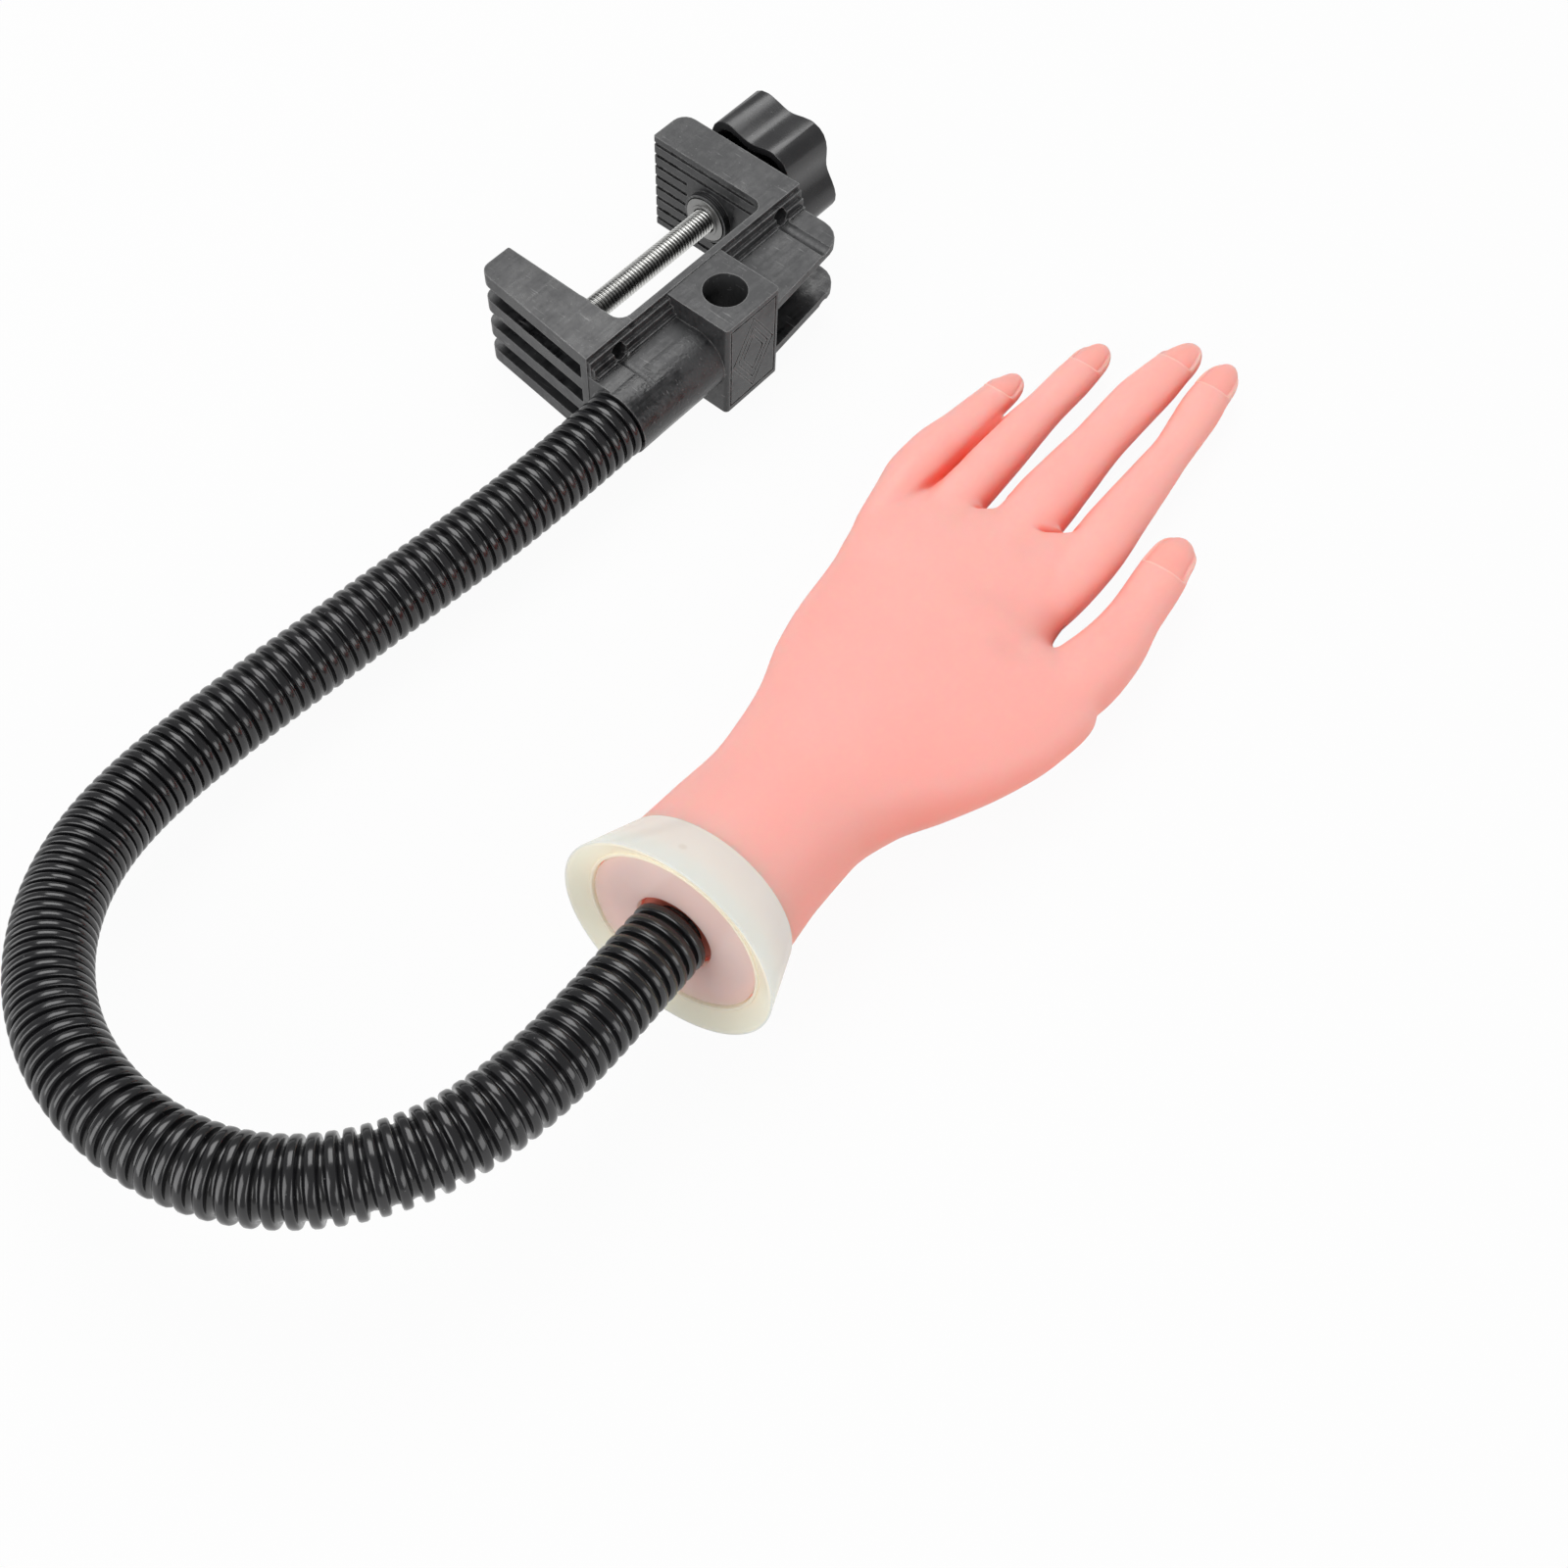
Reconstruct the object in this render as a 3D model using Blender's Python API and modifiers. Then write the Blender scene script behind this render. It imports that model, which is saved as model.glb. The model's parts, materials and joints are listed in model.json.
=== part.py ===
"""Nail practice hand: a soft hand on a ribbed flexible arm that stands in a screw clamp.

Everything is in metres, +Z up. The origin is where the clamp screw's axis meets the fixed jaw,
+X runs along the screw towards its knob, and +Y runs from the clamp's spine towards its open side.
The clamp leans a little on its knob's lowest lobe, as it does when it lies on a table.
"""
import math

import bmesh
import bpy
import numpy as np
from mathutils import Euler, Matrix, Vector

# Fits and cuts
FIT_GAP = 0.0003
OVERRUN = 0.002
BLEND_DEPTH = 0.0012
END_STEP = 0.0004
WELD = 0.00003

# Clamp body, with its height centred on the screw's axis
CLAMP_HEIGHT = 0.0365
JAW_OPENING = 0.066
SPINE_BACK = 0.0245
SPINE_WALL = 0.0024
ARM_REACH = 0.0486
JAW_ROOT = 0.0177
JAW_TIP = 0.0127
SCREW_ARM = 0.0146
JAW_TIP_ROUND = 0.004
ARM_TIP_ROUND = 0.005
THROAT_ROUND = 0.0042
FACE_ROUND = 0.0006

# Slots that leave four fins on the outer side of each arm
SLOT_COUNT = 3
SLOT_HEIGHT = 0.0058
SLOT_FLOOR = 0.003
SLOT_END_WALL = 0.003

# Grooves across the gripping faces
GRIP_COUNT = 8
GRIP_PITCH = 0.00442
GRIP_WIDTH = 0.0014
GRIP_DEPTH = 0.0009
GRIP_ROOT = 0.0062

# Ridges along the spine's outer side
RIDGE_COUNT = 3
RIDGE_STEP = 0.0012
RIDGE_LIP = 0.0017
RIDGE_DROP = 0.0024

# Socket barrel, its block and the plates beside it
BARREL_RADIUS = 0.011
BARREL_BACK = 0.0121
BARREL_SOCKET = 0.0345
PLATE_THICKNESS = 0.0028
BLOCK_START = 0.0357
BLOCK_LENGTH = 0.0247
BLOCK_BACK = 0.024
BLOCK_BORE_RADIUS = 0.007
BLOCK_BORE_FROM_END = 0.0119
BLOCK_ROUND = 0.0014
WING_BACK = 0.0235
WING_TIP_BACK = 0.0197
WING_ROUND = 0.0085

# Nested lines in the block's outer face: half width and half height of each line
PATTERN_DEPTH = 0.0004
PATTERN_LINE = 0.0006
PATTERN_FRAME = (0.0106, 0.0162)
PATTERN_DIAMONDS = ((0.0096, 0.0148), (0.0072, 0.0111), (0.0048, 0.0074))

# Side holes above and below the plates, each with a trough in front
HOLE_RADIUS = 0.0026
HOLE_DEPTH = 0.0055
HOLE_HEIGHT = 0.01375
HOLE_FROM_JAW_END = 0.012
HOLE_FROM_SCREW_END = 0.0113
TROUGH_RADIUS = 0.0036
TROUGH_BITE = 0.0005
SHORT_TROUGH = 0.017

# Screw boss, threaded insert, screw, pad and knob
BOSS_RADIUS = 0.0086
BOSS_PROUD = 0.0026
RECESS_RADIUS = 0.0079
RECESS_DEPTH = 0.0011
FLANGE_RADIUS = 0.0076
FLANGE_THICKNESS = 0.0012
INSERT_RADIUS = 0.0054
INSERT_NECK = 0.0005
SCREW_RADIUS = 0.004
SCREW_TIP_CHAMFER = 0.0008
SCREW_IN_KNOB = 0.015
PAD_RADIUS = 0.0085
PAD_THICKNESS = 0.0032
PAD_SOCKET = 0.0019
PAD_TO_JAW = 0.004
PAD_CHAMFER = 0.0006
KNOB_LOBES = 5
KNOB_LOBE_RADIUS = 0.0225
KNOB_FLUTE_RADIUS = 0.0176
KNOB_PHASE_DEG = 56
KNOB_LENGTH = 0.02
KNOB_TO_ARM = 0.004
KNOB_WALL = 0.0028
KNOB_END_WALL = 0.004
KNOB_HUB_RADIUS = 0.0074
KNOB_HUB_TO_ARM = 0.0006
KNOB_EDGE = 0.0011
KNOB_EDGE_STEPS = 2
KNOB_EDGE_OVER_DEG = 50

# Flexible arm: a ribbed hose over a bendable core, plugged in at both ends
HOSE_RADIUS = 0.0106
HOSE_VALLEY = 0.0087
HOSE_BORE = 0.0074
HOSE_LENGTH = 0.444
HOSE_STRAIGHT = 0.0212
HOSE_BREAK = 0.0007
PLUG_RADIUS = 0.0065
PLUG_IN_BARREL = 0.025
PLUG_IN_HOSE = 0.008
PLUG_IN_HAND = 0.016
PLUG_CHAMFER = 0.0008
CORE_RADIUS = 0.006
CORE_BREAK = 0.0006
CORE_STEP = 0.018
CORE_END_DEG = (12, 40, 66, 90)

# Ribs between one arm joint and the next, and their spacing along the hose as shares of the mean
SECTION_RIBS = (9, 19, 19, 24, 21, 20, 8)
RIB_SPACING_SHARES = (1.0, 1.0, 1.02, 0.98, 0.82, 0.76, 0.84, 1.1, 1.14, 1.02, 0.98)

# Heading and climb of the hose in degrees, at equal steps between its straight ends
HOSE_HEADING_DEG = (180, 176.5, 176.5, 179.5, 190.5, 220, 251.5, 283, 320.5, 353, 364.9)
HOSE_CLIMB_DEG = (-1, -0.5, 2.5, 6.5, 10, 9, 4, 0.5, -3.5, -5.7)

# Wrist cup, its disc and the socket in the hand
CUP_RIM_RADIUS = 0.0316
CUP_RIM_WIDTH = 0.0012
CUP_END_RADIUS = 0.0257
CUP_LENGTH = 0.0172
CUP_WALL = 0.0016
DISC_RADIUS = 0.0244
DISC_RECESS = 0.003
DISC_THICKNESS = 0.002
CUP_LIP_HEIGHT = 0.0006
CUP_LIP_WIDTH = 0.0007
SOCKET_LENGTH = 0.02
SOCKET_END_WALL = 0.002
COLLAR_TAPER = 0.0128
POCKET_EDGE = 0.0024
POCKET_DEPTH = 0.0105

# Hand: lengths run from the cup's rim to the middle fingertip, breadths are shares of the palm
HAND_LENGTH = 0.2855
PALM_BREADTH = 0.077
PALM_DEPTH = 0.031
HAND_DROP = 0.0245
PALM_SQUARENESS_SHARE = 0.06

# Height of the hand's middle below the rim's centre, as shares of the length and of the drop
DROP_SHARES = ((0, 0), (0.07, 0.08), (0.175, 0.24), (0.35, 0.47), (0.525, 0.63), (0.665, 0.755),
               (0.84, 0.9), (1.0, 0.985))

# Wrist and palm: place, thumb side, little finger side, half depth and slant towards the fingers
PALM_SHARES = (
    (0.045, -0.324, 0.33, 0.82, 0),
    (0.08, -0.312, 0.322, 0.79, 0),
    (0.123, -0.301, 0.316, 0.74, 0),
    (0.175, -0.303, 0.308, 0.67, 0),
    (0.228, -0.355, 0.33, 0.62, 0),
    (0.277, -0.457, 0.366, 0.59, 0),
    (0.336, -0.563, 0.438, 0.555, 0),
    (0.392, -0.632, 0.48, 0.52, 0),
    (0.448, -0.664, 0.504, 0.475, 0),
    (0.471, -0.62, 0.516, 0.45, 0),
    (0.487, -0.44, 0.528, 0.425, -0.03),
    (0.503, -0.35, 0.538, 0.405, -0.05),
    (0.53, -0.338, 0.555, 0.375, -0.1),
    (0.575, -0.34, 0.574, 0.32, -0.2),
    (0.61, -0.325, 0.555, 0.25, -0.28),
    (0.627, -0.29, 0.515, 0.16, -0.33),
)

# Fingers: place, middle and half width from the root inside the palm, and the round tip's end
FINGER_SHARES = {
    "little": ((0.522, 0.485, 0.078), (0.575, 0.506, 0.0935), (0.62, 0.5245, 0.104),
               (0.663, 0.524, 0.101), (0.712, 0.5085, 0.088), (0.761, 0.498, 0.0766),
               (0.789, 0.49, 0.0714), (0.8255, 0.4815, 0)),
    "ring": ((0.5235, 0.306, 0.084), (0.5765, 0.31, 0.101), (0.6285, 0.31, 0.104),
             (0.699, 0.309, 0.099), (0.7515, 0.311, 0.0935), (0.811, 0.305, 0.0825),
             (0.8495, 0.3, 0.083), (0.888, 0.2945, 0.0766), (0.9305, 0.29, 0)),
    "middle": ((0.541, 0.0425, 0.105), (0.5935, 0.0425, 0.124), (0.6565, 0.0395, 0.13),
               (0.73, 0.0395, 0.118), (0.8035, 0.0375, 0.104), (0.877, 0.0295, 0.105),
               (0.912, 0.0175, 0.099), (0.951, 0.006, 0.0857), (0.998, -0.0125, 0)),
    "index": ((0.541, -0.243, 0.097), (0.5935, -0.243, 0.114), (0.6495, -0.2395, 0.118),
              (0.723, -0.231, 0.105), (0.797, -0.2245, 0.0896), (0.835, -0.2205, 0.082),
              (0.87, -0.212, 0.0857), (0.909, -0.201, 0.0896), (0.944, -0.192, 0.082), (0.996, -0.188, 0)),
    "thumb": ((0.4085, -0.415, 0.11), (0.4435, -0.456, 0.145), (0.4715, -0.49, 0.149),
              (0.4995, -0.509, 0.146), (0.5245, -0.518, 0.139), (0.5555, -0.529, 0.1235),
              (0.6085, -0.519, 0.104), (0.6645, -0.506, 0.1), (0.689, -0.499, 0.091), (0.7255, -0.495, 0)),
}
FINGER_ROOT_DEPTH_SHARE = 1.0
FINGER_TIP_DEPTH_SHARE = 0.88
FINGER_TIP_DEG = (28, 52, 70, 84)

# Nail beds: where each starts, how deep it lies and how far round the finger it reaches
NAIL_SHARES = {"little": 0.7765, "ring": 0.8745, "middle": 0.943, "index": 0.9335, "thumb": 0.6575}
NAIL_DEPTH = 0.0006
NAIL_FROM_DEG = 24
NAIL_STEPS = 6

# Facets
ROUND_SIDES = 32
SMALL_SIDES = 20
TUBE_SIDES_STEP = 2
CORNER_STEPS = 5
CUP_STEPS = 36
KNOB_POINTS_A_LOBE = 12
HAND_RING_POINTS = 24
FINGER_RING_POINTS = 16
ROUTE_STEPS = 1776
BORE_RIBS = 3
SHARP_DEG = 32
HAND_SHARP_DEG = 60

# Values that follow from those above
HALF_HEIGHT = CLAMP_HEIGHT / 2
SPINE_FRONT = SPINE_BACK - SPINE_WALL
ARM_TIP = ARM_REACH - SPINE_BACK
ARM_OUTSIDE = JAW_OPENING + SCREW_ARM
BARREL_Y = -SPINE_BACK - BARREL_BACK
BLOCK_X = BLOCK_START - JAW_ROOT
BLOCK_FACE = -SPINE_BACK - BLOCK_BACK
BARREL_MOUTH = -JAW_ROOT - END_STEP
BOSS_END = ARM_OUTSIDE + END_STEP
KNOB_X = ARM_OUTSIDE + KNOB_TO_ARM
WRIST_BORE = PLUG_RADIUS + FIT_GAP


def clamp_lean():
    """Angle at which the clamp rests on the jaw's lower edge and the knob's lowest lobe."""
    lobes = [math.radians(KNOB_PHASE_DEG + 360 * k / KNOB_LOBES) for k in range(KNOB_LOBES)]
    reach = -min(math.sin(a) for a in lobes) * KNOB_LOBE_RADIUS
    return math.atan2(max(reach - HALF_HEIGHT, 0), KNOB_X + KNOB_EDGE + JAW_ROOT)


CLAMP_LEAN = clamp_lean()


def clear_scene():
    for item in list(bpy.data.objects):
        bpy.data.objects.remove(item, do_unlink=True)


def new_collection(name, helper=False):
    group = bpy.data.collections.new(name)
    bpy.context.scene.collection.children.link(group)
    group.hide_render = helper
    return group


clear_scene()
PARTS = new_collection("nail_practice_hand")
CUTTERS = new_collection("cutters", helper=True)


def material(name, colour, roughness, metallic=0.0, alpha=1.0):
    finish = bpy.data.materials.new(name)
    finish.use_nodes = True
    shader = finish.node_tree.nodes["Principled BSDF"]
    shader.inputs["Base Color"].default_value = (*colour, 1.0)
    shader.inputs["Roughness"].default_value = roughness
    shader.inputs["Metallic"].default_value = metallic
    shader.inputs["Alpha"].default_value = alpha
    finish.diffuse_color = (*colour, alpha)
    return finish


def empty(name, matrix):
    """An empty that carries pieces, such as the leaning clamp or the wrist."""
    item = bpy.data.objects.new(name, None)
    item.empty_display_size = FLANGE_RADIUS
    item.matrix_world = matrix
    PARTS.objects.link(item)
    return item


def place(item, group, parent=None, location=(0, 0, 0), rotation=(0, 0, 0)):
    group.objects.link(item)
    item.parent = parent
    item.location = location
    item.rotation_euler = rotation
    if group == CUTTERS:
        item.hide_render = True
        item.display_type = "WIRE"
    return item


def new_object(name, shape, group, parent=None, location=(0, 0, 0), rotation=(0, 0, 0)):
    """An object from a bmesh."""
    mesh = bpy.data.meshes.new(name)
    shape.to_mesh(mesh)
    shape.free()
    return place(bpy.data.objects.new(name, mesh), group, parent, location, rotation)


def box(name, low, high, group=None, parent=None):
    """A box between two corners, given in its parent's frame."""
    low, high = Vector(low), Vector(high)
    shape = bmesh.new()
    bmesh.ops.create_cube(shape, size=1)
    bmesh.ops.scale(shape, vec=high - low, verts=shape.verts)
    return new_object(name, shape, group or CUTTERS, parent, (low + high) / 2)


AXIS_TURN = {"X": (0, math.pi / 2, 0), "Y": (-math.pi / 2, 0, 0), "Z": (0, 0, 0)}


def cylinder(name, radius, start, length, axis="X", group=None, parent=None, sides=ROUND_SIDES):
    """A round bar from start, length long, along the axis."""
    shape = bmesh.new()
    bmesh.ops.create_cone(shape, cap_ends=True, segments=sides, radius1=radius, radius2=radius,
                          depth=length)
    bmesh.ops.translate(shape, vec=(0, 0, length / 2), verts=shape.verts)
    return new_object(name, shape, group or CUTTERS, parent, start, AXIS_TURN[axis])


def turned(name, profile, closed, group, parent=None, location=(0, 0, 0), axis="X", steps=ROUND_SIDES):
    """A turned piece. The profile holds (radius, place on the axis) from the far end to the near end."""
    shape = bmesh.new()
    points = [shape.verts.new((radius, 0, along)) for radius, along in profile]
    for first, second in zip(points, points[1:]):
        shape.edges.new((first, second))
    if closed:
        shape.edges.new((points[-1], points[0]))
    item = new_object(name, shape, group, parent, location, AXIS_TURN[axis])
    lathe = item.modifiers.new("turn", "SCREW")
    lathe.steps = steps
    lathe.render_steps = steps
    lathe.use_merge_vertices = True
    lathe.merge_threshold = WELD
    lathe.use_smooth_shade = True
    return item


def rounded(corners, steps=CORNER_STEPS):
    """An outline's points, with an arc at each corner (x, y, radius) that has a radius."""
    points = []
    for k, (x, y, radius) in enumerate(corners):
        here = Vector((x, y))
        back = (Vector(corners[k - 1][:2]) - here).normalized()
        ahead = (Vector(corners[(k + 1) % len(corners)][:2]) - here).normalized()
        if radius <= 0:
            points.append(here)
            continue
        half = back.angle(ahead) / 2
        centre = here + (back + ahead).normalized() * (radius / math.sin(half))
        start = here + back * (radius / math.tan(half)) - centre
        end = here + ahead * (radius / math.tan(half)) - centre
        sweep = start.angle_signed(end)
        for step in range(steps + 1):
            turn = Matrix.Rotation(-sweep * step / steps, 2)
            points.append(centre + turn @ start)
    return points


def flat_piece(name, outline, thickness, group, parent=None, location=(0, 0, 0), rotation=(0, 0, 0)):
    """A flat piece from a 2D outline, as a mesh, centred on its thickness."""
    curve = bpy.data.curves.new(name, "CURVE")
    curve.dimensions = "2D"
    curve.fill_mode = "BOTH"
    curve.extrude = thickness / 2
    line = curve.splines.new("POLY")
    line.points.add(len(outline) - 1)
    for point, (x, y) in zip(line.points, outline):
        point.co[:2] = (x, y)
    line.use_cyclic_u = True
    return as_mesh(place(bpy.data.objects.new(name, curve), group, parent, location, rotation))


def as_mesh(item):
    """The same piece as a mesh with its caps welded."""
    bpy.context.view_layer.update()
    graph = bpy.context.evaluated_depsgraph_get()
    mesh = bpy.data.meshes.new_from_object(item.evaluated_get(graph))
    shape = bmesh.new()
    shape.from_mesh(mesh)
    bmesh.ops.remove_doubles(shape, verts=shape.verts, dist=WELD)
    bmesh.ops.recalc_face_normals(shape, faces=shape.faces)
    shape.to_mesh(mesh)
    shape.free()
    name, parent, group = item.name, item.parent, item.users_collection[0]
    place_of = (item.location.copy(), item.rotation_euler.copy())
    bpy.data.objects.remove(item, do_unlink=True)
    return place(bpy.data.objects.new(name, mesh), group, parent, *place_of)


def tube(name, points, radii, group, origin):
    """A tube along the points with a radius at each, whose object's origin is the given place."""
    curve = bpy.data.curves.new(name, "CURVE")
    curve.dimensions = "3D"
    curve.bevel_depth = 1.0
    curve.bevel_resolution = TUBE_SIDES_STEP
    curve.use_fill_caps = True
    line = curve.splines.new("POLY")
    line.points.add(len(points) - 1)
    for point, place_at, radius in zip(line.points, points, radii):
        point.co[:3] = place_at - origin
        point.radius = radius
    return as_mesh(place(bpy.data.objects.new(name, curve), group, location=origin))


def loft(name, rings, group, parent, closed=False):
    """A body through rings of equally many points, which ends in flat caps or closes on itself."""
    shape = bmesh.new()
    made = [[shape.verts.new(point) for point in ring] for ring in rings]
    count = len(made[0])
    for near, far in zip(made, made[1:] + (made[:1] if closed else [])):
        for k in range(count):
            shape.faces.new((near[k], near[(k + 1) % count], far[(k + 1) % count], far[k]))
    if not closed:
        shape.faces.new(list(reversed(made[0])))
        shape.faces.new(made[-1])
    bmesh.ops.recalc_face_normals(shape, faces=shape.faces)
    return new_object(name, shape, group, parent)


def cut(item, *cutters):
    for cutter in cutters:
        change = item.modifiers.new("cut " + cutter.name, "BOOLEAN")
        change.operation = "DIFFERENCE"
        change.object = cutter


def join(item, *others):
    for other in others:
        change = item.modifiers.new("join " + other.name, "BOOLEAN")
        change.operation = "UNION"
        change.object = other


def finish(item, look, sharp_deg=SHARP_DEG):
    """Gives a piece its material and smooth shading away from its edges."""
    item.data.materials.clear()
    item.data.materials.append(look)
    item.data.shade_smooth()
    item.data.set_sharp_from_angle(angle=math.radians(sharp_deg))
    return item


def chamfered_bar(radius, near, far, chamfer):
    """Profile of a round bar on its axis with chamfered ends, from the far end to the near end."""
    return [(0, far), (radius - chamfer, far), (radius, far - chamfer), (radius, near + chamfer),
            (radius - chamfer, near), (0, near)]


# The clamp

def make_clamp_frame(seat):
    """The moulded C-shaped body with its fins, grip faces, ridges, socket barrel, block and plates."""
    outline = rounded([
        (-JAW_ROOT, -SPINE_BACK, 0),
        (ARM_OUTSIDE, -SPINE_BACK, 0),
        (ARM_OUTSIDE, ARM_TIP, ARM_TIP_ROUND),
        (JAW_OPENING, ARM_TIP, FACE_ROUND),
        (JAW_OPENING, -SPINE_FRONT, THROAT_ROUND),
        (0, -SPINE_FRONT, THROAT_ROUND),
        (0, ARM_TIP, FACE_ROUND),
        (-JAW_TIP, ARM_TIP, JAW_TIP_ROUND),
    ])
    body = flat_piece("clamp_frame", outline, CLAMP_HEIGHT, PARTS, seat)
    cut(body, *arm_slots(seat))
    join(body, *ridges(seat), *barrel_side(seat), screw_boss(seat))
    cut(body, *grip_grooves(seat), *side_holes(seat), *sockets(seat), *block_pattern(seat))
    return finish(body, material("clamp_plastic", (0.022, 0.023, 0.025), 0.5))


def arm_slots(seat):
    """Cutters for the slots in the outer side of both arms."""
    fin = (CLAMP_HEIGHT - SLOT_COUNT * SLOT_HEIGHT) / (SLOT_COUNT + 1)
    spans = {"jaw": (-JAW_ROOT - OVERRUN, -SLOT_FLOOR),
             "screw_arm": (JAW_OPENING + SLOT_FLOOR, ARM_OUTSIDE + OVERRUN)}
    cutters = []
    for k in range(SLOT_COUNT):
        low = -HALF_HEIGHT + fin + k * (fin + SLOT_HEIGHT)
        for name, (near, far) in spans.items():
            cutters.append(box(f"{name}_slot_{k + 1}", (near, -SPINE_BACK + SLOT_END_WALL, low),
                               (far, ARM_TIP + OVERRUN, low + SLOT_HEIGHT), parent=seat))
    return cutters


def ridges(seat):
    """Steps that thicken the spine outwards, each lower than the one before."""
    steps = []
    for k in range(RIDGE_COUNT):
        half = HALF_HEIGHT - RIDGE_LIP - k * RIDGE_DROP
        back = SPINE_BACK + (k + 1) * RIDGE_STEP
        inset = (k + 1) * END_STEP
        steps.append(box(f"ridge_{k + 1}", (-JAW_ROOT + inset, -back, -half),
                         (ARM_OUTSIDE - inset, -SPINE_BACK + BLEND_DEPTH, half), parent=seat))
    return steps


def barrel_side(seat):
    """The socket barrel with the solid web that ties it to the spine, the block and the two wings."""
    inner = -SPINE_BACK + BLEND_DEPTH
    barrel = cylinder("barrel", BARREL_RADIUS, (BARREL_MOUTH, BARREL_Y, 0), BLOCK_START + OVERRUN,
                      parent=seat)
    web_height = BARREL_RADIUS - END_STEP
    web = box("barrel_web", (-JAW_ROOT + END_STEP / 2, BARREL_Y, -web_height),
              (BLOCK_X + OVERRUN, inner, web_height), parent=seat)
    block = flat_piece("block", rounded([
        (BLOCK_X, inner, 0),
        (BLOCK_X, BLOCK_FACE, BLOCK_ROUND),
        (BLOCK_X + BLOCK_LENGTH, BLOCK_FACE, BLOCK_ROUND),
        (BLOCK_X + BLOCK_LENGTH, inner, 0),
    ]), CLAMP_HEIGHT - 2 * END_STEP, CUTTERS, seat)
    wing_start = BLOCK_X + BLOCK_LENGTH - OVERRUN
    wing_end = ARM_OUTSIDE - (RIDGE_COUNT + 1) * END_STEP
    wing = rounded([
        (wing_start, inner, 0),
        (wing_start, -SPINE_BACK - WING_BACK, 0),
        (wing_end, -SPINE_BACK - WING_TIP_BACK, WING_ROUND),
        (wing_end, inner, 0),
    ])
    wings = [flat_piece(f"wing_{name}", wing, PLATE_THICKNESS, CUTTERS, seat,
                        (0, 0, side * (BARREL_RADIUS - PLATE_THICKNESS / 2)))
             for name, side in (("top", 1), ("bottom", -1))]
    return [barrel, web, block, *wings]


def screw_boss(seat):
    """Solid round the screw through the arm, proud of the gripping face."""
    start = JAW_OPENING - BOSS_PROUD
    return cylinder("screw_boss", BOSS_RADIUS, (start, 0, 0), BOSS_END - start, parent=seat)


def block_pattern(seat):
    """Cutters for the nested lines in the block's outer face: a frame with diamonds in it."""
    middle = BLOCK_X + BLOCK_LENGTH / 2
    levels = (BLOCK_FACE - OVERRUN, BLOCK_FACE + PATTERN_DEPTH)

    def ring(width, height, level, corners):
        return [Vector((middle + x * width, level, z * height)) for x, z in corners]

    square = ((1, 1), (-1, 1), (-1, -1), (1, -1))
    diamond = ((1, 0), (0, 1), (-1, 0), (0, -1))
    cutters = []
    for k, (width, height) in enumerate((PATTERN_FRAME, *PATTERN_DIAMONDS)):
        corners = diamond if k else square
        inner = (width - PATTERN_LINE, height - PATTERN_LINE)
        rings = [ring(width, height, levels[0], corners), ring(width, height, levels[1], corners),
                 ring(*inner, levels[1], corners), ring(*inner, levels[0], corners)]
        cutters.append(loft(f"pattern_line_{k + 1}", rings, CUTTERS, seat, closed=True))
    return cutters


def grip_grooves(seat):
    """Cutters for the grooves across both gripping faces. Those beside the boss start at its edge."""
    faces = {"jaw": (0, -1), "screw_arm": (JAW_OPENING, 1)}
    cutters = []
    for k in range(GRIP_COUNT):
        middle = (k - (GRIP_COUNT - 1) / 2) * GRIP_PITCH
        beside = abs(middle) < BOSS_RADIUS + GRIP_WIDTH
        for name, (face, inwards) in faces.items():
            start = BOSS_RADIUS + GRIP_WIDTH if beside and name == "screw_arm" else GRIP_ROOT - SPINE_BACK
            sides = sorted((face - inwards * OVERRUN, face + inwards * GRIP_DEPTH))
            cutters.append(box(f"{name}_groove_{k + 1}", (sides[0], start, middle - GRIP_WIDTH / 2),
                               (sides[1], ARM_TIP + OVERRUN, middle + GRIP_WIDTH / 2), parent=seat))
    return cutters


def side_holes(seat):
    """Cutters for the round holes in the spine above and below the plates, and their troughs."""
    back = SPINE_BACK + RIDGE_COUNT * RIDGE_STEP
    ends = {"jaw_end": (-JAW_ROOT + HOLE_FROM_JAW_END, SHORT_TROUGH),
            "screw_end": (ARM_OUTSIDE - HOLE_FROM_SCREW_END, BLOCK_BACK + OVERRUN)}
    cutters = []
    for name, (along, trough) in ends.items():
        for level, side in (("top", 1), ("bottom", -1)):
            height = side * HOLE_HEIGHT
            cutters.append(cylinder(f"{name}_{level}_hole", HOLE_RADIUS, (along, -back - OVERRUN, height),
                                    OVERRUN + HOLE_DEPTH, "Y", parent=seat, sides=SMALL_SIDES))
            start = (along, -SPINE_BACK - trough, height)
            reach = SPINE_BACK + trough - back + TROUGH_BITE
            cutters.append(cylinder(f"{name}_{level}_trough", TROUGH_RADIUS, start, reach, "Y",
                                    parent=seat, sides=SMALL_SIDES))
    return cutters


def sockets(seat):
    """Cutters for the barrel's socket, the block's upright bore and the recess and bore at the screw."""
    barrel = cylinder("barrel_socket", WRIST_BORE, (BARREL_MOUTH - OVERRUN, BARREL_Y, 0),
                      OVERRUN + BARREL_SOCKET, parent=seat)
    upright = cylinder("block_bore", BLOCK_BORE_RADIUS,
                       (BLOCK_X + BLOCK_LENGTH - BLOCK_BORE_FROM_END, BARREL_Y, -HALF_HEIGHT - OVERRUN),
                       CLAMP_HEIGHT + 2 * OVERRUN, "Z", parent=seat)
    recess = cylinder("insert_recess", RECESS_RADIUS, (JAW_OPENING - BOSS_PROUD - OVERRUN, 0, 0),
                      OVERRUN + RECESS_DEPTH, parent=seat)
    start = JAW_OPENING - BOSS_PROUD - OVERRUN
    bore = cylinder("insert_bore", INSERT_RADIUS + FIT_GAP, (start, 0, 0), BOSS_END + OVERRUN - start,
                    parent=seat)
    return [barrel, upright, recess, bore]


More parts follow.
